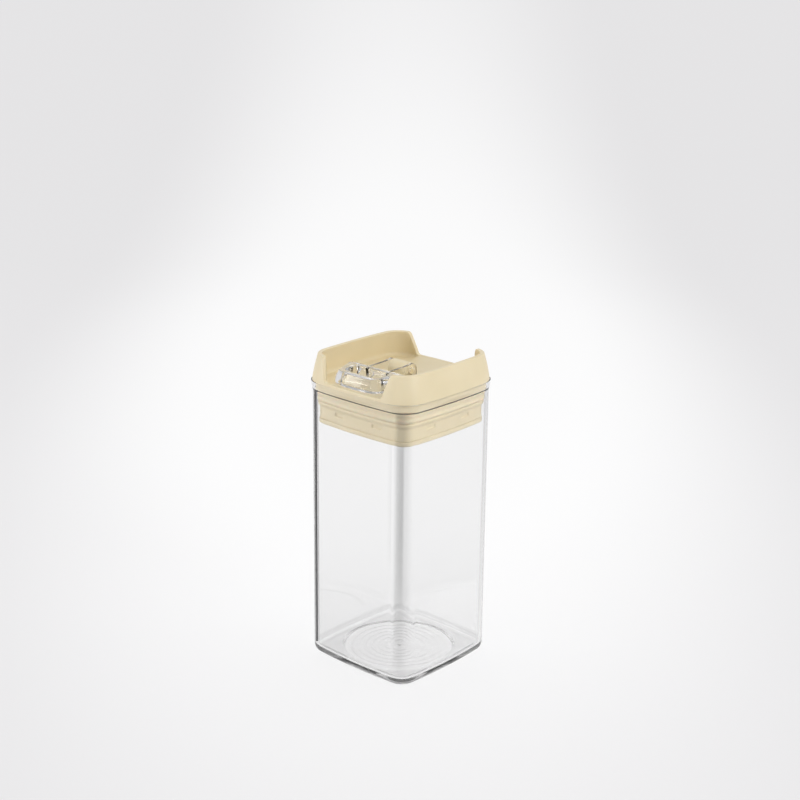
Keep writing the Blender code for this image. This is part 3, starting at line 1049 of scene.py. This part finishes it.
@dataclass
class LidCover(Piece):
    """The cream cover: a tray in tall walls with a notch front and back, on a seating flange."""

    height: float = 0.2080
    step: float = 0.19046
    low_half: float = 0.0464
    top_half: float = 0.0425
    draw_power: float = 1.3
    wall: float = 0.0030
    tray: float = 0.1900
    tray_underside: float = 0.1876
    sill: float = 0.1922
    wall_blend: float = 0.0022
    notch_low: float = 0.0250
    notch_top: float = 0.0280
    notch_low_radius: float = 0.0025
    notch_top_radius: float = 0.0030
    ramp_start: float = 0.0280
    ramp_end: float = 0.0434
    ramp_side: float = 0.0030
    edge: float = 0.0006
    fillet: float = 0.0024
    flange: float = 0.04405
    pocket: float = 0.0380
    flange_low: float = 0.1854
    hole: float = 0.0048
    sleeve: float = 0.0086
    sleeve_low: float = 0.1822

    def outer_half(self, level: np.ndarray) -> np.ndarray:
        """The outer half width at a level.

        It draws in from the foot's to the top's with the 1.3rd power of the height above the step.

        Args:
            level: heights above the base.

        Returns:
            Half widths.
        """
        rise = np.clip((level - self.step) / (self.height - self.step), 0, 1)
        return self.low_half - (self.low_half - self.top_half) * rise**self.draw_power

    def top_edge(self) -> np.ndarray:
        """The wall's top edge over half a notched side.

        Returns:
            Rows of distance along the side, level, and the edge's normal along and up.
        """
        lean = math.degrees(math.atan2(self.notch_top - self.notch_low, self.height - self.sill))
        low = (self.notch_low - self.notch_low_radius, self.sill + self.notch_low_radius)
        top = (self.notch_top + self.notch_top_radius, self.height - self.notch_top_radius)
        sill = np.column_stack([np.linspace(0, low[0], 15)[:-1], np.full(14, self.sill)])
        low_arc = arc(low, self.notch_low_radius, -90, -lean, 8)
        top_arc = arc(top, self.notch_top_radius, 180 - lean, 90, 8)
        share = np.linspace(0, 1, 9)[1:-1, None]
        slope = low_arc[-1] + (top_arc[0] - low_arc[-1]) * share
        line = np.concatenate([sill, low_arc, slope, top_arc])
        ahead = np.gradient(line, axis=0)
        ahead /= np.linalg.norm(ahead, axis=1)[:, None]
        return np.column_stack([line, -ahead[:, 1], ahead[:, 0]])

    def columns(self) -> tuple[np.ndarray, ...]:
        """The columns round the cover, each with its place and its point on the top edge.

        Returns:
            Distance along the side, level, normal along, normal up, side number and sign.
        """
        edge = self.top_edge()
        reach = COVER_SHAPE.side_radius * COVER_SHAPE.tilt
        radius = (self.low_half - COVER_SHAPE.bow - COVER_SHAPE.flat) / (
            math.cos(COVER_SHAPE.tilt) - math.sin(COVER_SHAPE.tilt)
        )
        corner = reach + radius * (math.pi / 4 - COVER_SHAPE.tilt)
        beyond = np.linspace(edge[-1, 0], corner, 13)[1:]
        rest = np.column_stack([beyond, np.full(12, self.height), np.zeros(12), np.ones(12)])
        half = np.concatenate([edge, rest])
        plain = half.copy()
        plain[:, 1:] = (self.height, 0, 1)
        parts = []
        for side in range(4):
            rows = half if side % 2 == 0 else plain
            left = rows[::-1] * [-1, 1, -1, 1]
            both = np.concatenate([left[:-1], rows])[:-1]
            parts.append(np.column_stack([both, np.full(len(both), side)]))
        return tuple(np.concatenate(parts).T)

    def point(self, along: np.ndarray, half: np.ndarray, level: np.ndarray, side: np.ndarray) -> np.ndarray:
        """Find points from a distance along the side, a half width and a level.

        Args:
            along: signed distance along the side at the foot.
            half: half width.
            level: height.
            side: side number.

        Returns:
            (x, y, z) points.
        """
        place = COVER_SHAPE.place_of(np.abs(along), self.low_half) * np.sign(along) + side
        return np.column_stack([COVER_SHAPE.points(half, place), level])

    def floor_level(self, x: np.ndarray, y: np.ndarray) -> np.ndarray:
        """The tray floor's level: flat, with a straight ramp up to each notch's sill.

        Each ramp ends sideways on a smooth step.

        Args:
            x: places across.
            y: places along.

        Returns:
            Levels.
        """
        rise = np.clip((np.abs(y) - self.ramp_start) / (self.ramp_end - self.ramp_start), 0, 1)
        inside = smooth_step(np.clip((self.notch_low + 0.0004 - np.abs(x)) / self.ramp_side, 0, 1))
        return self.tray + (self.sill - self.tray) * rise * inside

    def wall_rows(self) -> tuple[list[np.ndarray], np.ndarray, np.ndarray]:
        """The wall from its foot outside, over the top edge, down to the tray floor.

        Returns:
            The rings, and the columns' distance along the side and side number.
        """
        along, top, normal_along, normal_up, side = self.columns()
        rows = []
        edge = self.edge
        shoulder_along = along - edge * normal_along
        shoulder = top - edge * normal_up
        for share in (0, 0.03, 0.12, 0.3, 0.5, 0.7, 0.88, 0.97, 1):
            level = self.step + (shoulder - self.step) * share
            shifted = along + (shoulder_along - along) * share
            rows.append(self.point(shifted, self.outer_half(level), level, side))

        def rounded(angle: float, inner: bool) -> np.ndarray:
            """One ring of the quarter circle on either side of the top edge.

            Args:
                angle: how far up the quarter circle it lies, in radians.
                inner: whether it's on the wall's inner side.

            Returns:
                The ring's points.
            """
            back = edge * (1 - math.sin(angle))
            level = top - back * normal_up
            depth = self.wall - edge + edge * math.cos(angle) if inner else edge * (1 - math.cos(angle))
            return self.point(along - back * normal_along, self.outer_half(level) - depth, level, side)

        rows += [rounded(angle, False) for angle in np.radians([18, 36, 54, 72, 90])]
        rows.append(self.point(along, self.outer_half(top) - self.wall / 2, top, side))
        rows += [rounded(angle, True) for angle in np.radians([90, 72, 54, 36, 18, 0])]
        return rows, along, side

    def floor_rows(self, start: np.ndarray, along: np.ndarray, side: np.ndarray) -> list[np.ndarray]:
        """The inner wall, its fillet and the tray floor in to the stem's hole.

        Over the notches there is no inner wall, so there the rings run down the ramp instead.

        Args:
            start: the ring at the top edge's inner side.
            along: distance along the side.
            side: side number.

        Returns:
            The rings.
        """
        foot = self.outer_half(np.array(self.tray + self.fillet)) - self.wall
        floor_half = foot - self.fillet
        path = []
        for share in (0.04, 0.2, 0.4, 0.6, 0.8, 0.95, 1):
            level = start[:, 2] + (self.tray + self.fillet - start[:, 2]) * share
            path.append((self.outer_half(level) - self.wall, level))
        for angle in np.radians([15, 30, 45, 60, 75, 90]):
            level = np.full(len(along), self.tray + self.fillet * (1 - math.sin(angle)))
            path.append((np.full(len(along), foot - self.fillet * (1 - math.cos(angle))), level))
        walled = smooth_step(np.clip((start[:, 2] - self.sill) / self.wall_blend, 0, 1))[:, None]
        sill_half = self.outer_half(np.array(self.sill)) - self.wall
        rows = []
        for number, (half, level) in enumerate(path, 1):
            wall = self.point(along, half, level, side)
            wall[:, 2] = np.maximum(wall[:, 2], self.floor_level(wall[:, 0], wall[:, 1]))
            slide = sill_half + (floor_half - sill_half) * number / len(path)
            ramp = self.point(along, np.full(len(along), slide), level, side)
            ramp[:, 2] = self.floor_level(ramp[:, 0], ramp[:, 1])
            rows.append(ramp + (wall - ramp) * walled)
        edge = rows[-1]
        angle = np.arctan2(edge[:, 1], edge[:, 0])
        hole = self.hole * np.column_stack([np.cos(angle), np.sin(angle)])
        for share in (0.03, 0.08, 0.14, 0.2, 0.27, 0.35, 0.45, 0.6, 0.8, 0.95, 1):
            flat = edge[:, :2] + (hole - edge[:, :2]) * share
            rows.append(np.column_stack([flat, self.floor_level(flat[:, 0], flat[:, 1])]))
        return rows

    def under_rows(self, hole: np.ndarray, along: np.ndarray, side: np.ndarray) -> list[np.ndarray]:
        """The hole, the sleeve, the pocket and the flange under the tray.

        Args:
            hole: the ring at the hole's top.
            along: distance along the side.
            side: side number.

        Returns:
            The rings.
        """
        unit = hole[:, :2] / np.linalg.norm(hole[:, :2], axis=1)[:, None]
        ones = np.ones(len(unit))
        rounds = [
            (self.hole, self.sleeve_low),
            (self.sleeve, self.sleeve_low),
            (self.sleeve, self.tray_underside),
        ]
        rows = [np.column_stack([unit * radius, ones * level]) for radius, level in rounds]
        low = self.flange_low
        squares = [
            (self.pocket, self.tray_underside),
            (self.pocket, low),
            (self.flange - 0.0003, low),
            (self.flange - 0.0001, low + 0.0001),
            (self.flange, low + 0.0004),
            (self.flange, self.step - 0.0003),
            (self.flange, self.step),
        ]
        rows += [self.point(along, ones * half, ones * level, side) for half, level in squares]
        return rows

    def build(self, material: bpy.types.Material) -> None:
        """Build the cover.

        Args:
            material: the cream plastic.
        """
        wall, along, side = self.wall_rows()
        floor = self.floor_rows(wall[-1], along, side)
        under = self.under_rows(floor[-1], along, side)
        obj = skin("lid_tray", wall + floor + under, closed=True, smooth_angle=50)
        self.dress(obj, material, Slot.CREAM, "lid_cover")
        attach(obj, Body.LID.value)


# ------------------------------------------------------------------------------------- plug


@dataclass
class Plug(Piece):
    """What reaches into the neck: the gasket, the frame that squeezes it and the cap below."""

    gasket_half: float = 0.0417
    gasket_inner: float = 0.0377
    gasket_low: float = 0.1770
    gasket_top: float = 0.1850
    shoulder: float = 0.0406
    frame_half: float = 0.0392
    frame_low: float = 0.1653
    web_low: float = 0.1742
    web_top: float = 0.1766
    guide: float = 0.0373
    skin_wall: float = 0.0020
    lip: float = 0.0396
    lip_low: float = 0.1620
    lip_top: float = 0.16525
    window_along: float = 0.0160
    window_half: float = 0.0040
    window_low: float = 0.1698
    window_top: float = 0.1724
    window_depth: float = 0.0009
    window_fade: float = 0.0006
    stem_hole: float = 0.0046
    cap_wall: float = 0.0369
    lip_round: float = 0.0009
    lip_edge: float = 0.0003

    def gasket(self, material: bpy.types.Material) -> None:
        """Build the gasket: two round lobes with a groove between.

        Args:
            material: the silicone.
        """
        lobe = (self.gasket_top - self.gasket_low) / 4
        centre = self.gasket_half - lobe
        outer = [
            arc((centre, self.gasket_low + lobe), lobe, -90, 38, 12),
            arc((centre, self.gasket_top - lobe), lobe, -38, 90, 12),
        ]
        profile = [(self.gasket_inner, self.gasket_low), *np.concatenate(outer).tolist()]
        profile += [(self.gasket_inner, self.gasket_top)]
        stations = [Station(BODY_SHAPE, half, level) for half, level in profile]
        obj = loft("gasket_ring", stations, even_places(10, 10, BODY_SHAPE), closed=True)
        self.dress(obj, material, Slot.SILICONE, "gasket")
        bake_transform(obj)

    def press_windows(self, obj: bpy.types.Object) -> None:
        """Press the eight snap windows into the frame's skirt.

        The dent is full inside a window and fades evenly over its last half millimetre or so.

        Args:
            obj: the frame.
        """
        points = read_points(obj.data)
        middle = (self.window_low + self.window_top) / 2
        tall = (self.window_top - self.window_low) / 2
        for along, out in ((0, 1), (1, 0)):
            reach = np.abs(points[:, out])
            across = np.abs(np.abs(points[:, along]) - self.window_along)
            outside = (reach > self.frame_half - 0.0018) & (reach < self.frame_half + 0.0001)
            wide = np.clip((self.window_half - across) / self.window_fade, 0, 1)
            high = np.clip((tall - np.abs(points[:, 2] - middle)) / self.window_fade, 0, 1)
            dent = self.window_depth * np.minimum(wide, high) * outside
            points[:, out] -= np.sign(points[:, out]) * dent
        obj.data.vertices.foreach_set("co", points.ravel())
        obj.data.update()

    def frame(self, material: bpy.types.Material) -> None:
        """Build the frame: guide, shoulder and skirt.

        Args:
            material: the cream plastic.
        """
        under = self.gasket_low - 0.00005
        skirt = np.linspace(self.frame_low + 0.0002, self.web_low - 0.0010, 46)
        profile = [
            (self.frame_half - self.skin_wall, self.web_low),
            (self.frame_half - self.skin_wall, self.frame_low),
            (self.frame_half - 0.0002, self.frame_low),
            *[(self.frame_half, level) for level in skirt],
            (self.frame_half + 0.0002, self.web_low - 0.0005),
            (self.shoulder - 0.0003, self.web_low + 0.0006),
            (self.shoulder, self.web_low + 0.0011),
            (self.shoulder, under - 0.0005),
            (self.shoulder - 0.0002, under - 0.0001),
            (self.shoulder - 0.0005, under),
            (self.guide, under),
            (self.guide, self.gasket_top),
            (self.guide - self.skin_wall, self.gasket_top),
            (self.guide - self.skin_wall, self.web_top),
        ]
        stations = [Station(BODY_SHAPE, self.stem_hole, self.web_low, 1.0)]
        stations += [Station(BODY_SHAPE, half, level) for half, level in profile]
        stations.append(Station(BODY_SHAPE, self.stem_hole, self.web_top, 1.0))
        obj = loft("plug_frame", stations, even_places(80, 10, BODY_SHAPE), closed=True)
        self.press_windows(obj)
        self.dress(obj, material, Slot.CREAM, "pressure_frame")
        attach(obj, Body.PLUNGER.value)

    def cap(self, material: bpy.types.Material) -> None:
        """Build the cap that closes the frame below.

        Args:
            material: the cream plastic.
        """
        wall, corner, edge = self.cap_wall, self.lip_round, self.lip_edge
        hook_top, floor = self.window_top + 0.0010, self.lip_low + self.skin_wall
        stations = [Station(BODY_SHAPE, half, self.lip_low, mix) for half, mix in ((0.004, 1), (0.02, 0.5))]
        stations += fillet(BODY_SHAPE, self.lip - corner, self.lip_low + corner, corner, -90, 0, 6)
        stations += fillet(BODY_SHAPE, self.lip - edge, self.lip_top - edge, edge, 0, 90, 3)
        stations += [
            Station(BODY_SHAPE, wall, self.lip_top),
            Station(BODY_SHAPE, wall, hook_top),
            Station(BODY_SHAPE, wall - self.skin_wall, hook_top),
            Station(BODY_SHAPE, wall - self.skin_wall, floor),
            Station(BODY_SHAPE, 0.02, floor, 0.5),
            Station(BODY_SHAPE, 0.004, floor, 1),
        ]
        obj = loft("plug_cap", stations, even_places(10, 10, BODY_SHAPE))
        self.dress(obj, material, Slot.CREAM, "bottom_cap")
        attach(obj, Body.PLUNGER.value)

    def build(self, cream: bpy.types.Material, silicone: bpy.types.Material) -> None:
        """Build the plug's three pieces.

        Args:
            cream: the cream plastic.
            silicone: the silicone.
        """
        self.gasket(silicone)
        self.frame(cream)
        self.cap(cream)


# ------------------------------------------------------------------------- stem and spring


@dataclass
class Stem(Piece):
    """The pull stem: a round-topped hub on a shaft with a flange, and the spring round it."""

    pivot: float = 0.1973
    hub_half: float = 0.0070
    hub_radius: float = 0.0053
    hub_low: float = 0.1930
    hub_round: float = 0.0005
    shaft: float = 0.0045
    flange: float = 0.0080
    spigot: float = 0.0042
    web_low: float = 0.1744
    web_top: float = 0.1769
    spring_radius: float = 0.0106
    spring_wire: float = 0.0006
    spring_low: float = 0.1775
    spring_top: float = 0.1867
    spring_turns: float = 3.5

    def hub(self, material: bpy.types.Material) -> None:
        """Build the hub that holds the axle.

        Args:
            material: the cream plastic.
        """
        dome = arc((0, self.pivot), self.hub_radius, 0, 180, 40)
        foot = [(-self.hub_radius, self.hub_low), (self.hub_radius, self.hub_low)]
        outline = np.concatenate([dome, foot])
        obj = prism("stem_hub", outline, -self.hub_half, self.hub_half)
        soften(obj, self.hub_round, 4)
        self.dress(obj, material, Slot.CREAM, "pull_stem")
        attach(obj, Body.PLUNGER.value)

    def shaft_piece(self, material: bpy.types.Material) -> None:
        """Build the shaft under the hub, with the flange that bears on the frame.

        Args:
            material: the cream plastic.
        """
        profile = [
            (0.0010, self.web_low),
            (self.spigot, self.web_low),
            (self.spigot, self.web_top),
            (self.flange - 0.0002, self.web_top),
            (self.flange, self.web_top + 0.0002),
            (self.flange, self.web_top + 0.0013),
            (self.flange - 0.0002, self.web_top + 0.0015),
            (self.shaft + 0.0004, self.web_top + 0.0015),
            (self.shaft, self.web_top + 0.0019),
            (self.shaft, self.hub_low),
            (0.0010, self.hub_low),
        ]
        stations = [Station(BODY_SHAPE, radius, level, 1.0) for radius, level in profile]
        obj = loft("stem_shaft", stations, np.arange(64) / 16)
        self.dress(obj, material, Slot.CREAM)
        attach(obj, Body.PLUNGER.value)

    def spring(self, material: bpy.types.Material) -> None:
        """Build the return spring as a wire wound on a helix.

        Each section is a circle of the wire's radius, in the plane of the spring's axis and the helix's
        outward direction at that place.

        Args:
            material: the steel.
        """
        count = int(self.spring_turns * 40)
        share = np.linspace(0, 1, count)
        angle = share * self.spring_turns * math.tau
        level = self.spring_low + (self.spring_top - self.spring_low) * share
        outward = np.column_stack([np.cos(angle), np.sin(angle), np.zeros(count)])
        centre = outward * self.spring_radius + np.column_stack([np.zeros((count, 2)), level])
        section = np.linspace(0, math.tau, 12, endpoint=False)
        out = np.cos(section)[None, :, None] * outward[:, None]
        upward = np.sin(section)[None, :, None] * np.array([0.0, 0.0, 1.0])
        rows = centre[:, None] + self.spring_wire * (out + upward)
        obj = skin("spring_wire", list(rows), closed=False)
        self.dress(obj, material, Slot.STEEL, "return_spring")
        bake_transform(obj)

    def build(self, cream: bpy.types.Material, steel: bpy.types.Material) -> None:
        """Build the stem and its spring.

        Args:
            cream: the cream plastic.
            steel: the spring's steel.
        """
        self.hub(cream)
        self.shaft_piece(cream)
        self.spring(steel)


# ------------------------------------------------------------------------------------ lever


@dataclass
class FlipLever(Piece):
    """The clear lever: a thick loop round a finger hole, on two cam lugs beside the hub."""

    pivot: float = 0.1973
    lift: float = 0.0025
    low: float = 0.1932
    high: float = 0.2020
    front: float = -0.0461
    back: float = -0.0191
    half: float = 0.0253
    bow_radius: float = 0.0600
    lean: float = 13.5
    corner: float = 0.0070
    back_corner: float = 0.0045
    edge: float = 0.0008
    under_edge: float = 0.0010
    crown: float = 0.0020
    crown_power: float = 2.2
    hole_half: float = 0.0140
    hole_front: float = -0.0385
    hole_back: float = -0.0255
    hole_corner: float = 0.0035
    hole_edge: float = 0.0009
    lug_near: float = 0.0075
    lug_far: float = 0.0098
    lug_top: float = 0.0052
    lug_round: float = 0.00035
    bore: float = 0.00225
    cam: float = 0.0067

    def outer_outline(self) -> np.ndarray:
        """The loop's outer outline.

        Returns:
            (x, y) points, counterclockwise from the middle of the front.
        """
        front = arc((0, self.front + self.bow_radius), self.bow_radius, -90, -90 + self.lean, 60)
        lean = math.radians(self.lean)
        centre = front[-1] + self.corner * np.array([-math.sin(lean), math.cos(lean)])
        corner = arc(centre, self.corner, -90 + self.lean, -27, 60)
        side_end = (self.half - self.back_corner, self.back - self.back_corner)
        back = arc(side_end, self.back_corner, -12, 90, 60)
        right = np.concatenate([front, corner[1:], back])
        left = right[::-1][:-1] * [-1, 1]
        return np.concatenate([right, left])

    def hole_outline(self) -> np.ndarray:
        """The finger hole's outline.

        Returns:
            (x, y) points, counterclockwise.
        """
        right, back = self.hole_half - self.hole_corner, self.hole_back - self.hole_corner
        front = self.hole_front + self.hole_corner
        centres = ((right, back), (-right, back), (-right, front), (right, front))
        turns = (0, 90, 180, 270)
        radius = self.hole_corner
        corners = [arc(centre, radius, turn, turn + 90, 40) for centre, turn in zip(centres, turns)]
        return np.concatenate(corners)

    @staticmethod
    def spaced(outline: np.ndarray, count: int, middle: Sequence[float]) -> np.ndarray:
        """Sample a closed outline at equal angles round a point, straight between its own points.

        Args:
            outline: the outline's points.
            count: how many samples.
            middle: the point.

        Returns:
            The samples, from the angle of -90 degrees on.
        """
        offset = outline - np.array(middle)
        angle = np.unwrap(np.arctan2(offset[:, 1], offset[:, 0]))
        wanted = np.linspace(-math.pi, math.pi, count, endpoint=False)
        start = angle[0]
        grid = start + np.mod(wanted - start, math.tau)
        order = np.append(angle, angle[0] + math.tau)
        closed = np.concatenate([outline, outline[:1]])
        grid = np.clip(grid, order[0], order[-1])
        return np.column_stack([np.interp(grid, order, closed[:, k]) for k in range(2)])

    @staticmethod
    def inset(outline: np.ndarray, depth: float) -> np.ndarray:
        """Move a counterclockwise outline inwards along its normals.

        A point's normal is square to the line between its two neighbours.

        Args:
            outline: the outline's points.
            depth: how far, where a negative depth moves it outwards.

        Returns:
            The moved points.
        """
        ahead = np.roll(outline, -1, axis=0) - np.roll(outline, 1, axis=0)
        ahead /= np.linalg.norm(ahead, axis=1)[:, None]
        return outline + depth * np.column_stack([-ahead[:, 1], ahead[:, 0]])

    def loop(self) -> bpy.types.Object:
        """Build the loop as one closed surface between its outline and its hole.

        The outer face leans in with the 2.2nd power of the height, and quarter circles round the edges.

        Returns:
            The object.
        """
        count = 360
        middle = (0, (self.hole_front + self.hole_back) / 2)
        outer = self.spaced(self.outer_outline(), count, middle)
        inner = self.spaced(self.hole_outline(), count, middle)
        rows = []

        def ring(outline: np.ndarray, depth: float, level: float) -> None:
            """Add one ring, moved inwards by a depth."""
            flat = self.inset(outline, depth)
            rows.append(np.column_stack([flat, np.full(count, level)]))

        small, under = self.hole_edge, self.under_edge
        turns = np.radians(np.linspace(0, 90, 7))
        face_top = self.high - self.edge
        face_low = self.low + under
        for share in (0.1, 0.25, 0.4, 0.55, 0.7, 0.85):
            depth = self.crown * share**self.crown_power
            ring(outer, depth, face_low + (face_top - face_low) * share)
        for turn in turns:
            depth = self.crown + self.edge * (1 - math.cos(turn))
            ring(outer, depth, self.high - self.edge * (1 - math.sin(turn)))
        for turn in turns[::-1]:
            ring(inner, -small * (1 - math.cos(turn)), self.high - small * (1 - math.sin(turn)))
        for turn in turns:
            ring(inner, -small * (1 - math.cos(turn)), self.low + small * (1 - math.sin(turn)))
        for turn in turns[::-1]:
            ring(outer, under * (1 - math.cos(turn)), self.low + under * (1 - math.sin(turn)))
        return skin("lever_loop", rows, closed=True)

    def lug(self, name: str, side: int) -> bpy.types.Object:
        """Build one lug with its arm.

        The lug is a cam: its radius shrinks evenly with the angle from the top to the back, and grows
        evenly by the lift from there to the underside.

        Args:
            name: the object's name.
            side: -1 for left, 1 for right.

        Returns:
            The object.
        """
        share = np.linspace(0, 1, 25)
        small = self.cam - self.lift
        top_angle = np.radians(90 * (1 - share))
        top_radius = self.lug_top + (small - self.lug_top) * share
        cam_angle = np.radians(-90 * share)
        cam_radius = small + self.lift * share
        angle = np.concatenate([top_angle, cam_angle[1:]])
        radius = np.concatenate([top_radius, cam_radius[1:]])
        turned = np.column_stack([radius * np.cos(angle), self.pivot + radius * np.sin(angle)])
        root = self.back - 0.0030
        low, high = self.low + 0.0005, self.high - 0.0005
        arm = [(-0.0035, self.pivot - self.cam), (-0.0075, low), (root, low), (root, high), (-0.0075, high)]
        near, far = sorted((side * self.lug_near, side * self.lug_far))
        obj = prism(name, np.concatenate([turned, arm]), near, far)
        return soften(obj, self.lug_round, 3)

    def build(self, material: bpy.types.Material) -> None:
        """Build the lever.

        Args:
            material: the clear plastic.
        """
        obj = self.loop()
        for name, side in (("left_lug", -1), ("right_lug", 1)):
            combine(obj, self.lug(name, side), Join.ADD)
        circle = arc((0, self.pivot), self.bore, 0, 360, 48)[:-1]
        bore = prism("lug_bore", circle, -2 * self.lug_far, 2 * self.lug_far)
        combine(obj, bore, Join.CUT)
        face_outward(obj)
        self.dress(obj, material, Slot.CLEAR, "flip_lever")
        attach(obj, Body.LEVER.value)


# ------------------------------------------------------------------------------- CAD pieces


@dataclass
class Fixings(Piece):
    """The small parts that stay as the frame has them: axle, washer, screw and stem seal."""

    def build(
        self, cream: bpy.types.Material, steel: bpy.types.Material, silicone: bpy.types.Material
    ) -> None:
        """Give each its material.

        Args:
            cream: the axle's plastic.
            steel: the washer's and the screw's steel.
            silicone: the seal's silicone.
        """
        for node, material in (
            ("lever_axle", cream),
            ("stem_washer", steel),
            ("stem_screw", steel),
            ("stem_seal", silicone),
        ):
            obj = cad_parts[node]
            obj.data.materials.clear()
            obj.data.materials.append(material)
            LOG.info("%s keeps its frame shape, %s", node, material.name)


# ----------------------------------------------------------------------------------- studio


@dataclass(frozen=True)
class Lamp:
    """A soft square lamp that points at the canister."""

    name: str
    place: tuple[float, float, float]
    size: float
    power: float
    target: tuple[float, float, float] = (0, 0, 0.11)


@dataclass(frozen=True)
class Card:
    """A small black card close to the canister, seen only through its clear body, where it paints dark edges:
    painted shade.
    """

    name: str
    place: tuple[float, float]
    azimuth: float
    width: float
    height: float


@dataclass
class Studio:
    """The pale set: a glowing floor and sweep with a painted pool of light, soft lamps, a black card at the
    left that paints dark edges into the clear body, the camera.
    """

    lamps: tuple[Lamp, ...] = (
        Lamp("key", (1.35, 0.0, 0.8), 0.7, 8.0),
        Lamp("fill", (-0.95, -1.15, 0.45), 0.7, 7.0),
        Lamp("top", (0.0, 0.1, 1.7), 0.9, 4.5),
    )
    # Painted shade: a black card seen only through the clear body, darkening its left edges.
    edge_shade_cards: tuple[Card, ...] = (Card("left_edge_shade_card", (-0.0489, -0.0385), 167.0, 0.0100, 0.181),)
    world: float = 0.54
    paper_drop: float = 0.0003
    paper_half: float = 4.0
    paper_near: float = -3.0
    sweep_start: float = 1.0
    sweep_radius: float = 0.6
    sweep_top: float = 2.2
    camera_place: tuple[float, float, float] = (0.65576, -0.72616, 0.49259)
    camera_right: tuple[float, float, float] = (0.73962, 0.67295, 0.00988)
    camera_up: tuple[float, float, float] = (-0.21420, 0.22146, 0.95135)
    lens: float = 71.95

    def paper(self) -> None:
        """Lay the floor, with a wide sweep up behind: a flat run, a quarter circle and a rise."""
        radius = self.sweep_radius
        side = np.linspace(-self.paper_half, self.paper_half, 25)
        bend = arc((self.sweep_start, radius), radius, -90, 0, 10)
        level_run = np.linspace(self.paper_near, self.sweep_start - 0.1, 19)
        run = np.concatenate([level_run, bend[:, 0], [self.sweep_start + radius]])
        rise = np.concatenate([np.zeros(19), bend[:, 1], [self.sweep_top]])
        # The set's depth runs along the camera's view, so the sweep stands square behind.
        back = Vector(self.camera_right).cross(Vector(self.camera_up)).normalized()
        ahead = np.array([-back.x, -back.y]) / math.hypot(back.x, back.y)
        across = np.array([-ahead[1], ahead[0]])
        flat = run[:, None, None] * ahead + side[None, :, None] * across
        level = np.broadcast_to(rise[:, None, None] - self.paper_drop, (len(run), len(side), 1))
        points = np.concatenate([flat, level], axis=2).reshape(-1, 3)
        number = np.arange(len(points)).reshape(len(run), len(side))
        corners = [number[:-1, :-1], number[:-1, 1:], number[1:, 1:], number[1:, :-1]]
        faces = np.stack(corners, axis=2).reshape(-1, 4).tolist()
        mesh = bpy.data.meshes.new("studio_paper")
        mesh.from_pydata(points.tolist(), [], faces)
        mesh.shade_smooth()
        obj = bpy.data.objects.new("studio_paper", mesh)
        bpy.context.scene.collection.objects.link(obj)
        # The floor glows, with a painted pool of light.
        mesh.materials.append(GlowingFloorPaintedPool().build())

    def cards(self) -> None:
        """Stand the black cards that paint dark edges, painted shade, into the clear body."""
        material = BlackFlock().build()
        for card in self.edge_shade_cards:
            turn = math.radians(card.azimuth + 90)
            across = np.array([math.cos(turn), math.sin(turn)]) * card.width / 2
            left, right = np.array(card.place) - across, np.array(card.place) + across
            points = [(*left, 0), (*right, 0), (*right, card.height), (*left, card.height)]
            mesh = bpy.data.meshes.new(card.name)
            mesh.from_pydata([tuple(map(float, point)) for point in points], [], [(0, 1, 2, 3)])
            mesh.materials.append(material)
            obj = bpy.data.objects.new(card.name, mesh)
            # Only rays through the clear body see the card, so it shows there as painted dark edges.
            for kind in ("camera", "diffuse", "glossy", "shadow"):
                setattr(obj, f"visible_{kind}", False)
            bpy.context.scene.collection.objects.link(obj)

    def light(self) -> None:
        """Hang the lamps and set the room's light."""
        for lamp in self.lamps:
            data = bpy.data.lights.new(lamp.name, "AREA")
            data.size = lamp.size
            data.energy = lamp.power
            obj = bpy.data.objects.new(lamp.name, data)
            obj.location = lamp.place
            aim = Vector(lamp.target) - Vector(lamp.place)
            obj.rotation_euler = aim.to_track_quat("-Z", "Y").to_euler()
            bpy.context.scene.collection.objects.link(obj)
        room = bpy.data.worlds.new("studio_room")
        room.use_nodes = True
        light = room.node_tree.nodes["Background"]
        light.inputs["Color"].default_value = linear("#FFFFFF")
        light.inputs["Strength"].default_value = self.world
        bpy.context.scene.world = room
        bpy.context.scene.view_settings.view_transform = "Standard"

    def camera(self) -> None:
        """Place the camera."""
        data = bpy.data.cameras.new("camera")
        data.lens = self.lens
        obj = bpy.data.objects.new("camera", data)
        right, up = Vector(self.camera_right), Vector(self.camera_up)
        turn = Matrix((right, up, right.cross(up))).transposed().to_4x4()
        turn.translation = Vector(self.camera_place)
        obj.matrix_world = turn
        bpy.context.scene.collection.objects.link(obj)
        bpy.context.scene.camera = obj

    def build(self) -> None:
        """Set up the whole studio."""
        self.paper()
        self.cards()
        self.light()
        self.camera()
        LOG.info("studio: %d lamps, world %.2f", len(self.lamps), self.world)


def plain(bounds: Sequence[Sequence[float]]) -> list[list[float]]:
    """Turn a box into plain lists: its lowest and its highest corner."""
    return [[float(value) for value in corner] for corner in bounds]


def main() -> None:
    """Build the canister and its studio."""
    logging.basicConfig(level=logging.INFO, format="%(name)s %(message)s")
    cream, silicone, steel = MouldedCream().build(), MouldedSilicone().build(), TurnedSteel().build()
    shell = ClearAcrylic("clear_moulded_acrylic", corner=True).build()
    lever = ClearAcrylic("clear_lever_acrylic", wave_mm=14, wave_depth_mm=0.006).build()
    CanisterBody().build(shell)
    LidCover().build(cream)
    Plug().build(cream, silicone)
    Stem().build(cream, steel)
    FlipLever().build(lever)
    Fixings().build(cream, steel, silicone)
    Studio().build()


if __name__ == "__main__":
    main()
